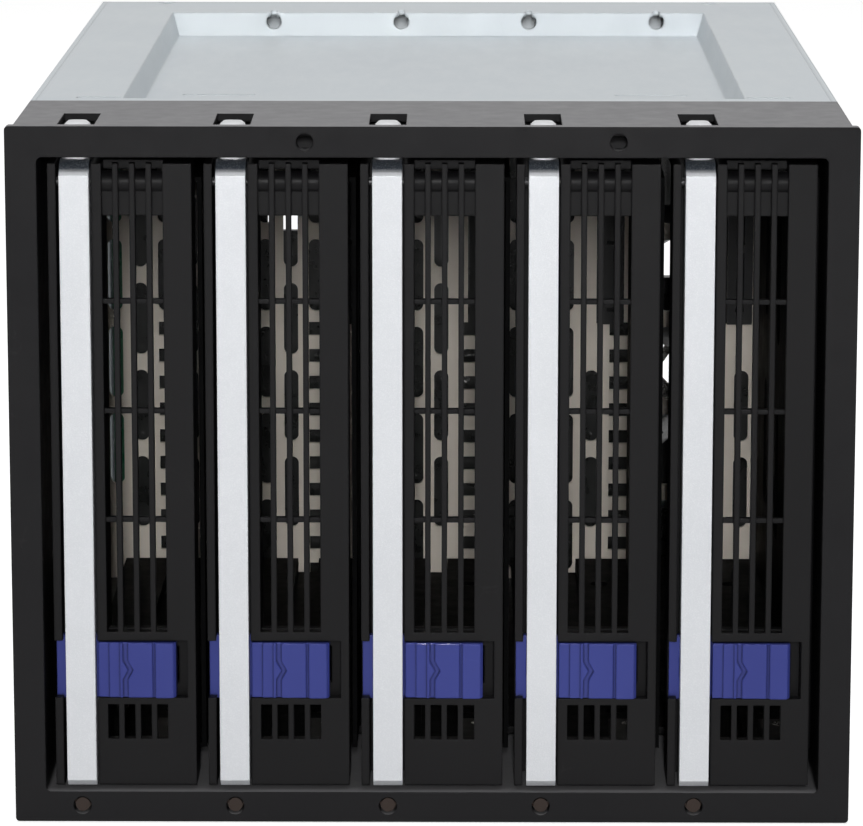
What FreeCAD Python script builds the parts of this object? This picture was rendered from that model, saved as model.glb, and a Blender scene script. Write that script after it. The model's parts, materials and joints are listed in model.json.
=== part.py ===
import FreeCAD, Part
import math
import os

import Sketcher

# Hot swap drive cage: five upright drive trays side by side in a sheet-metal chassis that fills
# three half-height bays. Every piece is drawn in one working frame: X across the front, Y back
# from the front face, Z up from the underside. Its Placement then centres it front to back.

TRAYS = 5
BAYS = 3

SIZES = [
    # alias, millimetres (or degrees), what it is
    ("flange_side", 1.0, "flange beyond the sleeve, each side"),
    ("flange_above", 0.5, "flange above the sleeve"),
    ("flange_thick", 2.5, "front flange plate"),
    ("flange_corner", 0.7, "outer corner radius of the flange"),
    ("frame_side", 4.45, "tray opening to the side of the sleeve and chassis"),
    ("frame_above", 4.9, "tray opening to the top of the sleeve and chassis"),
    ("frame_depth", 39.0, "front face to the chassis"),
    ("opening_side", 1.75, "outer trays to the sides of the opening"),
    ("opening_low", 5.5, "underside to the opening"),
    ("opening_above", 1.3, "trays to the top of the opening"),
    ("opening_corner", 1.0, "corner radius of the opening"),
    ("skin", 1.4, "moulded skin of the front frame"),
    ("frame_rib", 1.6, "rib between two hollow cells of the frame"),
    ("window_width", 6.5, "window above a lever, across"),
    ("window_length", 17.5, "window above a lever, front to back"),
    ("window_lip", 3.5, "flange face to the window"),
    ("bar_hole_radius", 1.5, "hole in the top bar"),
    ("bar_hole_shift", 5.1, "hole in the top bar, right of its tray's centre"),
    ("lamp_bore", 1.6, "radius of the bore for a lamp lens"),
    ("lamp_radius", 1.25, "radius of a lamp lens at its face"),
    ("lamp_length", 9.0, "lamp lens, front to back"),
    ("lamp_recess", 0.7, "lamp lens behind the flange face"),
    ("lamp_fit", 0.1, "radial clearance of a lens in its bore"),
    ("lamp_lift", 0.2, "lamp lens above the middle of the bottom bar"),
    ("plenum", 41.0, "backplane bracket to the rear face of the chassis"),
    ("steel", 1.0, "chassis sheet"),
    ("rail_width", 15.5, "raised side rail of the cover, at its top"),
    ("rail_slope", 1.3, "how far a rail's inner wall leans"),
    ("recess_drop", 5.0, "cover recess below the rails"),
    ("ridge_length", 22.0, "raised rear ridge of the cover, front to back"),
    ("lip_length", 3.5, "raised front lip of the cover, front to back"),
    ("skirt", 14.0, "cover skirt inside the chassis sides"),
    ("keyhole_radius", 1.6, "round end of a keyhole"),
    ("keyhole_drop", 1.9, "top of the ridge to a keyhole's centre"),
    ("keyhole_slot", 1.4, "width of a keyhole's slot"),
    ("keyhole_reach", 4.5, "keyhole slot along the top of the ridge"),
    ("relief_width", 2.4, "bend relief between rail and ridge"),
    ("relief_depth", 4.0, "bend relief, front to back"),
    ("floor_slot_left", 34.5, "middle of the cover to its two recess slots"),
    ("floor_slot_length", 13.8, "slot in the cover recess, across"),
    ("floor_slot_back", 86.5, "front face to the recess slots"),
    ("rail_slot_left", 57.0, "middle of the cover to its two rail slots"),
    ("rail_slot_length", 8.0, "slot in a side rail, across"),
    ("rail_slot_back", 43.0, "front face to the rail slots"),
    ("cover_slot", 1.5, "cover slots, front to back"),
    ("side_hole_radius", 1.6, "tapped side hole of the chassis"),
    ("side_hole_pitch", 79.25, "side holes, front to back"),
    ("side_hole_first", 47.4, "back of the flange to the first side hole"),
    ("side_hole_rise", 10.0, "bottom of a bay to its side holes"),
    ("bay_rise", 41.3, "one half-height bay"),
    ("tray_width", 25.0, "tray bezel, across"),
    ("tray_space", 2.15, "bezel to the next bezel"),
    ("tray_gap", 0.9, "under the bezel, in the opening"),
    ("tray_margin", 0.9, "bezel beyond the runners, above and below"),
    ("tray_recess", 1.5, "bezel face behind the flange face"),
    ("bezel_plate", 2.0, "bezel face plate"),
    ("bezel_depth", 11.0, "bezel, face to back edge"),
    ("bezel_wall", 1.6, "bezel side and end walls"),
    ("left_rib", 1.45, "rib left of the lever"),
    ("lever_width", 5.2, "lever, across"),
    ("lever_gap", 0.65, "left of the lever"),
    ("lever_close", 0.3, "right of the lever"),
    ("lever_depth", 6.0, "lever, front to back"),
    ("lever_skin", 1.2, "lever wall"),
    ("lever_head", 4.0, "radius of the lever's head about its pin"),
    ("lever_above", 2.3, "lever face above the pin"),
    ("lever_bevel", 0.75, "bevel at the top of the lever face"),
    ("lever_solid", 6.0, "solid part of the lever below its pin"),
    ("lever_end", 1.2, "bevel at the lever's lower end"),
    ("pin_depth", 4.2, "front face to the lever pin"),
    ("pin_drop", 4.8, "top of the opening to the lever pin"),
    ("pin_radius", 0.8, "lever pin"),
    ("pin_fit", 0.05, "radial clearance of the lever on its pin"),
    ("boss_radius", 1.9, "pin boss behind the ribs"),
    ("first_rib", 1.75, "rib right of the lever"),
    ("thin_rib", 0.97, "rib between two slots"),
    ("slot_width", 1.93, "air slot, across"),
    ("slot_drop", 9.3, "top of the bezel to the clear part of the slots"),
    ("slot_above", 1.8, "latch to the upper air slots"),
    ("crown_depth", 3.0, "clear space behind the open tops of the ribs"),
    ("tie_rise", 0.9, "tie bar across the slots"),
    ("tie_pitch", 19.5, "tie bar to tie bar"),
    ("tie_drop", 14.6, "clear top of the slots to the first tie bar"),
    ("low_slot_rise", 6.3, "lower air slot, bottom to top"),
    ("low_slot_drop", 1.4, "latch to the lower air slots"),
    ("latch_rise", 10.0, "latch, bottom to top"),
    ("latch_low", 16.1, "bottom of the bezel to the latch"),
    ("latch_fit", 0.2, "clearance around the latch"),
    ("latch_travel", 1.8, "latch stroke"),
    ("latch_proud", 0.8, "latch face in front of the bezel face"),
    ("latch_plate", 1.6, "latch plate behind the bezel face and the lever"),
    ("latch_lip", 0.8, "latch plate beyond the latch face, above and below"),
    ("latch_reach", 13.7, "latch face, across"),
    ("latch_step", 1.9, "pitch of the grip steps"),
    ("latch_pad", 3.6, "raised end pad of the latch"),
    ("groove", 0.5, "depth of the grip grooves"),
    ("spring_leaf", 0.8, "spring arm of the latch"),
    ("spring_bow", 3.6, "spring arm behind the latch plate"),
    ("pocket_corner", 2.0, "corner radius of the latch pocket"),
    ("catch_width", 1.2, "catch nose of the lever, across"),
    ("catch_length", 3.4, "catch nose of the lever, bottom to top"),
    ("catch_reach", 3.2, "catch nose through and behind the latch plate"),
    ("tray_steel", 0.8, "tray sheet"),
    ("drive_width", 101.6, "disk drive, across its base"),
    ("drive_play", 0.2, "clearance beside the drive, each side"),
    ("pan_length", 147.5, "tray pan, front to back"),
    ("pan_inset", 1.0, "edge of the pan flange inside the bezel's left side"),
    ("pan_overhang", 1.15, "pan plate beyond the bezel's right side"),
    ("runner_width", 6.0, "pressed runner of the pan, across"),
    ("runner_drop", 3.0, "pressed runner of the pan, height"),
    ("runner_start", 8.5, "edge of the pan flange to the runner"),
    ("drive_hole_radius", 1.8, "drive screw hole in a pan flange"),
    ("drive_hole_rise", 6.35, "base of the drive to its side screws"),
    ("drive_hole_first", 28.5, "rear end of the drive to its last side screw"),
    ("drive_hole_pitch", 101.6, "last side screw to first side screw"),
    ("drive_length", 147.0, "disk drive, front to back"),
    ("lug_length", 6.0, "screw lug behind the bezel"),
    ("lug_width", 7.0, "screw lug, across"),
    ("lug_thick", 3.0, "screw lug, thickness"),
    ("vent_width", 7.0, "vent in the pan, front to back"),
    ("vent_rise", 26.0, "vent in the pan, bottom to top"),
    ("vent_end", 3.15, "radius at the ends of a pan vent"),
    ("vent_pitch", 34.0, "vent to vent"),
    ("vent_row", 19.5, "middle of the pan to a row of vents"),
    ("screw_radius", 1.5, "board screw shank"),
    ("tray_screw_radius", 1.2, "tray screw shank"),
    ("head_radius", 2.6, "machine screw head"),
    ("head_thick", 1.2, "machine screw head"),
    ("guide_fit", 0.3, "clearance around the runners"),
    ("guide_end", 8.7, "guides to the backplane bracket"),
    ("guide_web", 1.4, "walls of the guide mouldings"),
    ("pan_end", 8.0, "rear end of the pans to the backplane bracket"),
    ("standoff", 3.6, "bracket to board"),
    ("board_thick", 1.6, "backplane board"),
    ("board_margin", 3.0, "board inside the chassis walls"),
    ("board_inset", 6.6, "chassis walls to the board screws"),
    ("board_slot_width", 9.2, "air slot in the board, across"),
    ("board_slot_low", 19.0, "underside to the board's air slots"),
    ("board_slot_rise", 66.0, "air slot in the board, bottom to top"),
    ("gap_left", -35.9, "middle of the cage to the board's cable gap"),
    ("gap_width", 6.9, "cable gap in the board, across"),
    ("gap_low", 79.4, "underside to the board's cable gap"),
    ("gap_rise", 12.0, "cable gap in the board, bottom to top"),
    ("hole_width", 3.0, "tall air hole in the bracket, across"),
    ("hole_rise", 15.3, "tall air hole, bottom to top"),
    ("hole_end", 1.4, "radius at the ends of a tall air hole"),
    ("hole_pitch", 18.7, "tall air hole to the next one above"),
    ("hole_step", 5.3, "column of tall air holes to the next column"),
    ("hole_first", 0.85, "middle of the cage to the nearest column"),
    ("hole_low", 23.8, "underside to the middle of the lowest even hole"),
    ("notch_width", 4.4, "notch in the bracket, across"),
    ("notch_rise", 2.9, "notch, bottom to top"),
    ("notch_pitch", 5.8, "notch to notch"),
    ("notch_high", 60.5, "underside to the top of the highest notch"),
    ("socket_width", 5.2, "drive socket, across"),
    ("socket_rise", 42.4, "drive socket, bottom to top"),
    ("socket_depth", 7.0, "drive socket, board to mouth"),
    ("socket_slot", 1.8, "tongue slot of a drive socket"),
    ("socket_end", 2.7, "ends of a drive socket to its tongue slots"),
    ("socket_key", 16.1, "bottom of a drive socket to the key between its slots"),
    ("socket_low", 60.5, "underside to the drive sockets"),
    ("socket_shift", 21.9, "left side of a tray to its drive socket"),
    ("port_width", 14.5, "data port, across"),
    ("port_rise", 6.0, "data port, bottom to top"),
    ("port_depth", 9.0, "data port, board to mouth"),
    ("port_pitch", 13.0, "data port to data port"),
    ("port_wall", 1.1, "wall of a data port"),
    ("inlet_width", 21.0, "power inlet, across"),
    ("inlet_rise", 10.4, "power inlet, bottom to top"),
    ("inlet_depth", 12.0, "power inlet, board to mouth"),
    ("inlet_wall", 1.3, "wall of a power inlet"),
    ("inlet_pin", 1.0, "radius of a power pin"),
    ("inlet_pitch", 5.0, "power pin to power pin"),
    ("inlet_chamfer", 2.6, "chamfered corner of a power inlet"),
    ("rear_window_side", 5.0, "cable window to the chassis side"),
    ("rear_window_space", 7.0, "cable window to the fan frame"),
    ("rear_window_low", 9.0, "underside to the cable window"),
    ("rear_window_drop", 13.0, "top of the chassis to the cable window"),
    ("rear_window_corner", 3.0, "corner radius of the cable window"),
    ("fan_side", 80.0, "fan frame, across and up"),
    ("fan_depth", 25.0, "fan frame, front to back"),
    ("fan_bore", 38.0, "radius of the fan duct"),
    ("fan_space", 6.0, "fan frame to the chassis side"),
    ("fan_rise", 62.0, "underside to the fan axis"),
    ("fan_pitch", 71.5, "fan screw to fan screw"),
    ("fan_hole", 2.2, "radius of a fan screw hole"),
    ("fan_corner", 4.0, "corner radius of the fan frame"),
    ("strut_width", 4.0, "fan strut, across"),
    ("strut_depth", 3.0, "fan strut and motor plate"),
    ("hub_radius", 16.0, "fan hub"),
    ("hub_depth", 19.0, "fan hub, front to back"),
    ("hub_gap", 0.4, "fan hub to motor plate"),
    ("hub_wall", 1.5, "wall of the fan hub"),
    ("shaft_radius", 1.5, "fan shaft"),
    ("shaft_fit", 0.05, "radial clearance of the shaft in its bearing"),
    ("bearing_radius", 4.0, "bearing tube"),
    ("tip_gap", 1.0, "blade tip to duct"),
    ("blade_thick", 1.2, "fan blade"),
    ("blade_depth", 15.0, "fan blade, front to back"),
    ("blade_twist", 34.0, "fan blade, turn from front edge to back edge, degrees"),
    ("guard_thick", 1.2, "finger guard sheet"),
    ("ring_width", 1.8, "ring of the finger guard"),
    ("ring_step", 8.5, "finger guard ring to ring"),
]
BLADES = 7
BLADE_STEPS = 3
VENTS = 4
GUARD_RINGS = 4
SLOTS = 4
TIES = 3
NOTCHES = 10
QUARTER_TURN = 90

doc = FreeCAD.newDocument("DriveCage")
sheet = doc.addObject("Spreadsheet::Sheet", "Sizes")
for row, (alias, number, note) in enumerate(SIZES, start=1):
    sheet.set(f"A{row}", alias)
    sheet.set(f"B{row}", str(number))
    sheet.set(f"C{row}", note)
    sheet.setAlias(f"B{row}", alias)
doc.recompute()


class Size:
    """A length that carries its number together with the sheet expression it comes from."""

    def __init__(self, number, text):
        self.number = float(number)
        self.text = text

    def __add__(self, other):
        other = as_size(other)
        return Size(self.number + other.number, f"({self.text} + {other.text})")

    def __radd__(self, other):
        return as_size(other) + self

    def __sub__(self, other):
        other = as_size(other)
        return Size(self.number - other.number, f"({self.text} - {other.text})")

    def __rsub__(self, other):
        return as_size(other) - self

    def __mul__(self, other):
        other = as_size(other)
        return Size(self.number * other.number, f"({self.text} * {other.text})")

    def __rmul__(self, other):
        return as_size(other) * self

    def __truediv__(self, other):
        other = as_size(other)
        return Size(self.number / other.number, f"({self.text} / {other.text})")

    def __neg__(self):
        return Size(-self.number, f"(0 - {self.text})")


def as_size(value):
    """A plain number as a Size."""
    return value if isinstance(value, Size) else Size(value, repr(float(value)))


def cell(alias):
    """The Size of one sheet cell."""
    return Size(sheet.get(alias), f"Sizes.{alias}")


def bind(thing, name, value):
    """Hold one property of a document object at a Size."""
    thing.setExpression(name, as_size(value).text)


def place(thing, label, across=0.0, back=0.0, up=0.0):
    """Name a finished piece and move it from the working frame to its place."""
    thing.Label = label
    bind(thing, "Placement.Base.x", across)
    bind(thing, "Placement.Base.y", front + back)
    bind(thing, "Placement.Base.z", up)
    pieces.append(thing)
    return thing


# ---- Part primitives -------------------------------------------------------------------------

def block(low, high):
    """A box between two corners."""
    thing = doc.addObject("Part::Box", "Block")
    for name, axis, start, end in zip(("Length", "Width", "Height"), "xyz", low, high):
        bind(thing, name, as_size(end) - start)
        bind(thing, "Placement.Base." + axis, start)
    return thing


def rod(axis, radius, start, length):
    """A cylinder along X, Y or Z from its start point."""
    thing = doc.addObject("Part::Cylinder", "Rod")
    bind(thing, "Radius", radius)
    bind(thing, "Height", length)
    turns = {
        "x": FreeCAD.Rotation(FreeCAD.Vector(0, 1, 0), 90),
        "y": FreeCAD.Rotation(FreeCAD.Vector(1, 0, 0), -90),
        "z": FreeCAD.Rotation(),
    }
    thing.Placement.Rotation = turns[axis]
    for letter, value in zip("xyz", start):
        bind(thing, "Placement.Base." + letter, value)
    return thing


def fuse(things):
    """One solid of several overlapping ones."""
    thing = doc.addObject("Part::MultiFuse", "Fuse")
    thing.Shapes = things
    thing.Refine = True
    return thing


def group(things):
    """Separate solids kept as one node."""
    thing = doc.addObject("Part::Compound", "Group")
    thing.Links = things
    return thing


def cut(base, tools):
    """A base with one or more tools taken away."""
    thing = doc.addObject("Part::Cut", "Cut")
    thing.Base = base
    thing.Tool = tools[0] if len(tools) == 1 else group(tools)
    return thing


# ---- PartDesign bodies -----------------------------------------------------------------------

def body():
    """An empty PartDesign body."""
    return doc.addObject("PartDesign::Body", "Body")


def origin_part(owner, role):
    """One of the origin planes or axes of a body."""
    return next(item for item in owner.Origin.OriginFeatures if item.Role == role)


def sketch_on(owner, plane, offset=0.0):
    """A sketch on an origin plane of its body, moved along the plane's own axis of the frame."""
    sketch = owner.newObject("Sketcher::SketchObject", "Sketch")
    sketch.AttachmentSupport = [(origin_part(owner, plane), "")]
    sketch.MapMode = "FlatFace"
    offset = as_size(offset)
    bind(sketch, "AttachmentOffset.Base.z", -offset if plane == "XZ_Plane" else offset)
    return sketch


def hold(sketch, kind, where, value):
    """One dimension of a sketch, bound to a Size."""
    value = as_size(value)
    index = sketch.addConstraint(Sketcher.Constraint(kind, *where, value.number))
    sketch.setExpression(f"Constraints[{index}]", value.text)


def hold_point(sketch, item, point, across, up):
    """Hold one point of a sketch from its origin."""
    hold(sketch, "DistanceX", (-1, 1, item, point), across)
    hold(sketch, "DistanceY", (-1, 1, item, point), up)


def polygon(sketch, corners):
    """A closed outline with straight sides."""
    corners = [(as_size(across), as_size(up)) for across, up in corners]
    points = [FreeCAD.Vector(across.number, up.number, 0) for across, up in corners]
    first = sketch.GeometryCount
    for start, end in zip(points, points[1:] + points[:1]):
        sketch.addGeometry(Part.LineSegment(start, end), False)
    for index, (across, up) in enumerate(corners):
        following = first + (index + 1) % len(corners)
        sketch.addConstraint(Sketcher.Constraint("Coincident", first + index, 2, following, 1))
        hold_point(sketch, first + index, 1, across, up)


def rectangle(sketch, left, low, right, high):
    """A rectangle between two corners."""
    polygon(sketch, [(left, low), (right, low), (right, high), (left, high)])


def circle(sketch, across, up, radius):
    """A full circle."""
    across, up, radius = as_size(across), as_size(up), as_size(radius)
    centre = FreeCAD.Vector(across.number, up.number, 0)
    item = sketch.addGeometry(Part.Circle(centre, FreeCAD.Vector(0, 0, 1), radius.number), False)
    hold_point(sketch, item, 3, across, up)
    hold(sketch, "Radius", (item,), radius)


def rounded(sketch, left, low, right, high, radius):
    """A rectangle with four equal round corners."""
    left, low, right, high, radius = [as_size(value) for value in (left, low, right, high, radius)]
    corners = [
        (right - radius, high - radius),
        (left + radius, high - radius),
        (left + radius, low + radius),
        (right - radius, low + radius),
    ]
    arcs = []
    for quarter, (across, up) in enumerate(corners):
        centre = FreeCAD.Vector(across.number, up.number, 0)
        base = Part.Circle(centre, FreeCAD.Vector(0, 0, 1), radius.number)
        ends = (math.radians(quarter * QUARTER_TURN), math.radians((quarter + 1) * QUARTER_TURN))
        arcs.append(sketch.addGeometry(Part.ArcOfCircle(base, *ends), False))
    for index, (across, up) in enumerate(corners):
        arc, following = arcs[index], arcs[(index + 1) % len(arcs)]
        line = sketch.addGeometry(Part.LineSegment(end_of(sketch, arc, 2), end_of(sketch, following, 1)))
        sketch.addConstraint(Sketcher.Constraint("Tangent", arc, 2, line, 1))
        sketch.addConstraint(Sketcher.Constraint("Tangent", line, 2, following, 1))
        hold_point(sketch, arc, 3, across, up)
    hold(sketch, "Radius", (arcs[0],), radius)


def end_of(sketch, item, point):
    """Where an end of a sketch element lies."""
    return sketch.getPoint(item, point)


def extend(owner, kind, sketch, length, backwards=False):
    """A pad or pocket of a sketch; backwards turns it to the other side of its plane."""
    feature = owner.newObject("PartDesign::" + kind, kind)
    feature.Profile = sketch
    feature.Reversed = backwards
    bind(feature, "Length", length)
    owner.Tip = feature
    return feature


def repeat(owner, feature, axis, length, count):
    """Copies of a feature in a row over a length."""
    pattern = owner.newObject("PartDesign::LinearPattern", "Row")
    pattern.Originals = [feature]
    pattern.Direction = (origin_part(owner, axis), [""])
    pattern.Occurrences = count
    bind(pattern, "Length", length)
    owner.Tip = pattern
    return pattern


# ---- Named places ----------------------------------------------------------------------------

pieces = []
steel = cell("steel")
pitch = cell("tray_width") + cell("tray_space")
row_length = pitch * (TRAYS - 1)
first_tray = -row_length / 2
tray_half = cell("tray_width") / 2
opening_half = row_length / 2 + tray_half + cell("opening_side")
half_body = opening_half + cell("frame_side")
half_flange = half_body + cell("flange_side")

pan_half = cell("drive_width") / 2 + cell("drive_play") + cell("tray_steel")
tray_rise = 2 * (pan_half + cell("runner_drop") + cell("tray_margin"))
opening_low = cell("opening_low")
tray_low = opening_low + cell("tray_gap")
tray_top = tray_low + tray_rise
tray_middle = tray_low + tray_rise / 2
pan_low = tray_middle - pan_half
pan_top = tray_middle + pan_half
opening_top = tray_top + cell("opening_above")
body_top = opening_top + cell("frame_above")
flange_top = body_top + cell("flange_above")
recess_top = body_top - cell("recess_drop")

bezel_back = cell("tray_recess") + cell("bezel_depth")
bracket_front = bezel_back + cell("pan_length") + cell("pan_end")
board_front = bracket_front + steel + cell("standoff")
board_back = board_front + cell("board_thick")
chassis_back = bracket_front + cell("plenum")
ridge_front = chassis_back - cell("ridge_length")
fan_back = chassis_back - steel
fan_front = fan_back - cell("fan_depth")
guard_stand = cell("guard_thick") + cell("head_thick")
front = -(chassis_back + guard_stand) / 2

lever_left = cell("left_rib") + cell("lever_gap")
lever_middle = lever_left + cell("lever_width") / 2
lever_shift = lever_middle - tray_half
channel_right = lever_left + cell("lever_width") + cell("lever_close")
pin_up = opening_top - cell("pin_drop")
latch_low = tray_low + cell("latch_low")
latch_high = latch_low + cell("latch_rise")
latch_middle = latch_low + cell("latch_rise") / 2
latch_plate_front = cell("tray_recess") + cell("bezel_plate") + cell("latch_fit")
tray_screw_across = cell("tray_width") - cell("bezel_wall") / 2 - cell("lug_width") / 2
tray_screw_back = bezel_back + cell("lug_length") / 2
runner_left = cell("pan_inset") + cell("runner_start")
runner_right = runner_left + cell("runner_width")
lamp_up = opening_low / 2 + cell("lamp_lift")

fan_middle = half_body - steel - cell("fan_space") - cell("fan_side") / 2
rear_window_left = -half_body + steel + cell("rear_window_side")
rear_window_right = fan_middle - cell("fan_side") / 2 - cell("rear_window_space")
rear_window_high = body_top - cell("rear_window_drop")
first_socket = first_tray - tray_half + cell("socket_shift")


def front_frame():
    """Moulded front frame: flange, hollow sleeve, tray opening, lever windows, lamp bores."""
    owner = body()
    sketch = sketch_on(owner, "XZ_Plane")
    rounded(sketch, -half_flange, 0, half_flange, flange_top, cell("flange_corner"))
    extend(owner, "Pad", sketch, cell("flange_thick"), True)
    sketch = sketch_on(owner, "XZ_Plane")
    rectangle(sketch, -half_body, 0, half_body, body_top)
    extend(owner, "Pad", sketch, cell("frame_depth"), True)
    sketch = sketch_on(owner, "XZ_Plane")
    rounded(sketch, -opening_half, opening_low, opening_half, opening_top, cell("opening_corner"))
    extend(owner, "Pocket", sketch, cell("frame_depth"))

    cell_half = (pitch - cell("frame_rib")) / 2
    hollow = cell("frame_depth") - cell("flange_thick")
    skin = cell("skin")
    for low, high in ((skin, opening_low - skin), (opening_top + skin, body_top - skin)):
        sketch = sketch_on(owner, "XZ_Plane", cell("frame_depth"))
        rectangle(sketch, first_tray - cell_half, low, first_tray + cell_half, high)
        repeat(owner, extend(owner, "Pocket", sketch, hollow, True), "X_Axis", row_length, TRAYS)
    side_rise = (opening_top - opening_low) / BAYS
    for left, right in ((-half_body + skin, -opening_half - skin), (opening_half + skin, half_body - skin)):
        sketch = sketch_on(owner, "XZ_Plane", cell("frame_depth"))
        rectangle(sketch, left, opening_low, right, opening_low + side_rise - cell("frame_rib"))
        pocket = extend(owner, "Pocket", sketch, hollow, True)
        repeat(owner, pocket, "Z_Axis", side_rise * (BAYS - 1), BAYS)

    window_half = cell("window_width") / 2
    window_middle = first_tray + lever_shift
    window_front = cell("window_lip")
    sketch = sketch_on(owner, "XY_Plane", body_top)
    rectangle(sketch, window_middle - window_half, window_front,
              window_middle + window_half, window_front + cell("window_length"))
    windows = extend(owner, "Pocket", sketch, body_top - opening_top)
    repeat(owner, windows, "X_Axis", row_length, TRAYS)

    sketch = sketch_on(owner, "XZ_Plane")
    circle(sketch, window_middle, lamp_up, cell("lamp_bore"))
    lamps = extend(owner, "Pocket", sketch, cell("lamp_recess") + cell("lamp_length"))
    repeat(owner, lamps, "X_Axis", row_length, TRAYS)
    sketch = sketch_on(owner, "XZ_Plane")
    for side in (-1, 1):
        circle(sketch, side * pitch + cell("bar_hole_shift"), (opening_top + flange_top) / 2,
               cell("bar_hole_radius"))
    extend(owner, "Pocket", sketch, cell("flange_thick"))
    place(owner, "front_frame")


def led_lenses():
    """Stepped lamp lenses in the bottom bar, one below each lever."""
    lenses = []
    for number in range(TRAYS):
        across = first_tray + lever_shift + number * pitch
        start = (across, cell("lamp_recess"), lamp_up)
        face = rod("y", cell("lamp_radius"), start, cell("lamp_length"))
        step = cell("flange_thick") - cell("lamp_recess")
        stem_start = (across, cell("flange_thick"), lamp_up)
        stem = rod("y", cell("lamp_bore") - cell("lamp_fit"), stem_start, cell("lamp_length") - step)
        lenses.append(fuse([face, stem]))
    place(group(lenses), "led_lenses")


def chassis_shell():
    """Folded steel U: floor and two sides with the tapped bay holes."""
    owner = body()
    sketch = sketch_on(owner, "XZ_Plane", cell("frame_depth"))
    inner = half_body - steel
    polygon(sketch, [
        (-half_body, 0), (half_body, 0), (half_body, body_top), (inner, body_top),
        (inner, steel), (-inner, steel), (-inner, body_top), (-half_body, body_top),
    ])
    extend(owner, "Pad", sketch, chassis_back - cell("frame_depth"), True)
    sketch = sketch_on(owner, "YZ_Plane", -half_body)
    first = cell("flange_thick") + cell("side_hole_first")
    for column in range(2):
        for bay in range(BAYS):
            circle(sketch, first + column * cell("side_hole_pitch"),
                   cell("side_hole_rise") + bay * cell("bay_rise"), cell("side_hole_radius"))
    extend(owner, "Pocket", sketch, 2 * half_body, True)
    place(owner, "chassis_shell")


def cover_outline(inner_top):
    """Section of the cover at a raised end: flat top with two skirts."""
    outer = half_body - steel
    skirt_low = body_top - cell("skirt")
    return [
        (-outer, skirt_low), (-outer, body_top), (outer, body_top), (outer, skirt_low),
        (outer - steel, skirt_low), (outer - steel, inner_top), (-outer + steel, inner_top),
        (-outer + steel, skirt_low),
    ]


def top_cover():
    """Formed steel cover: side rails, recessed middle, front lip, rear ridge, keyholes and slots."""
    owner = body()
    outer = half_body - steel
    rail = outer - cell("rail_width")
    foot = rail - cell("rail_slope")
    skirt_low = body_top - cell("skirt")
    lip_back = cell("frame_depth") + cell("lip_length")
    right = [
        (foot, recess_top), (rail, body_top), (outer, body_top), (outer, skirt_low),
        (outer - steel, skirt_low), (outer - steel, body_top - steel),
        (rail + steel, body_top - steel), (foot + steel, recess_top - steel),
    ]
    left = [(-across, up) for across, up in reversed(right)]
    for plane, points, length in (
        (cell("frame_depth"), cover_outline(body_top - steel), cell("lip_length")),
        (lip_back, right + left, ridge_front - lip_back),
        (ridge_front, cover_outline(body_top - steel), cell("ridge_length") - steel),
    ):
        sketch = sketch_on(owner, "XZ_Plane", plane)
        polygon(sketch, points)
        extend(owner, "Pad", sketch, length, True)
    for plane in (lip_back - steel, ridge_front):
        sketch = sketch_on(owner, "XZ_Plane", plane)
        rectangle(sketch, -rail - steel, recess_top - steel, rail + steel, body_top)
        extend(owner, "Pad", sketch, steel, True)

    keyhole_up = body_top - cell("keyhole_drop")
    keyhole = first_tray + lever_shift + pitch
    sketch = sketch_on(owner, "XZ_Plane", ridge_front)
    circle(sketch, keyhole, keyhole_up, cell("keyhole_radius"))
    holes = extend(owner, "Pocket", sketch, steel)
    repeat(owner, holes, "X_Axis", row_length - pitch, TRAYS - 1)
    sketch = sketch_on(owner, "XY_Plane", body_top)
    half_slot = cell("keyhole_slot") / 2
    rectangle(sketch, keyhole - half_slot, ridge_front, keyhole + half_slot,
              ridge_front + cell("keyhole_reach"))
    slots = extend(owner, "Pocket", sketch, cell("keyhole_drop"))
    repeat(owner, slots, "X_Axis", row_length - pitch, TRAYS - 1)
    sketch = sketch_on(owner, "XY_Plane", body_top)
    back = chassis_back - steel
    for side in (-1, 1):
        middle = side * (rail + cell("relief_width"))
        polygon(sketch, [(middle, back - cell("relief_depth")),
                         (middle + side * cell("relief_width"), back),
                         (middle - side * cell("relief_width"), back)])
    extend(owner, "Pocket", sketch, steel)
    for name, top in (("floor_slot", recess_top), ("rail_slot", body_top)):
        sketch = sketch_on(owner, "XY_Plane", top)
        low = cell(name + "_back")
        for side in (-1, 1):
            near = cell(name + "_left")
            far = near + cell(name + "_length")
            left, right = (near, far) if side > 0 else (-far, -near)
            rectangle(sketch, left, low, right, low + cell("cover_slot"))
        extend(owner, "Pocket", sketch, steel)
    place(owner, "top_cover")


def rear_panel():
    """Steel rear panel with the fan duct, its screw holes and the cable window."""
    owner = body()
    inner = half_body - steel
    sketch = sketch_on(owner, "XZ_Plane", chassis_back - steel)
    rectangle(sketch, -inner, steel, inner, body_top)
    extend(owner, "Pad", sketch, steel, True)
    sketch = sketch_on(owner, "XZ_Plane", chassis_back - steel)
    circle(sketch, fan_middle, cell("fan_rise"), cell("fan_bore"))
    for across, up in fan_corners():
        circle(sketch, across, up, cell("fan_hole"))
    rounded(sketch, rear_window_left, cell("rear_window_low"), rear_window_right, rear_window_high,
            cell("rear_window_corner"))
    extend(owner, "Pocket", sketch, steel)
    place(owner, "rear_panel")


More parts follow.
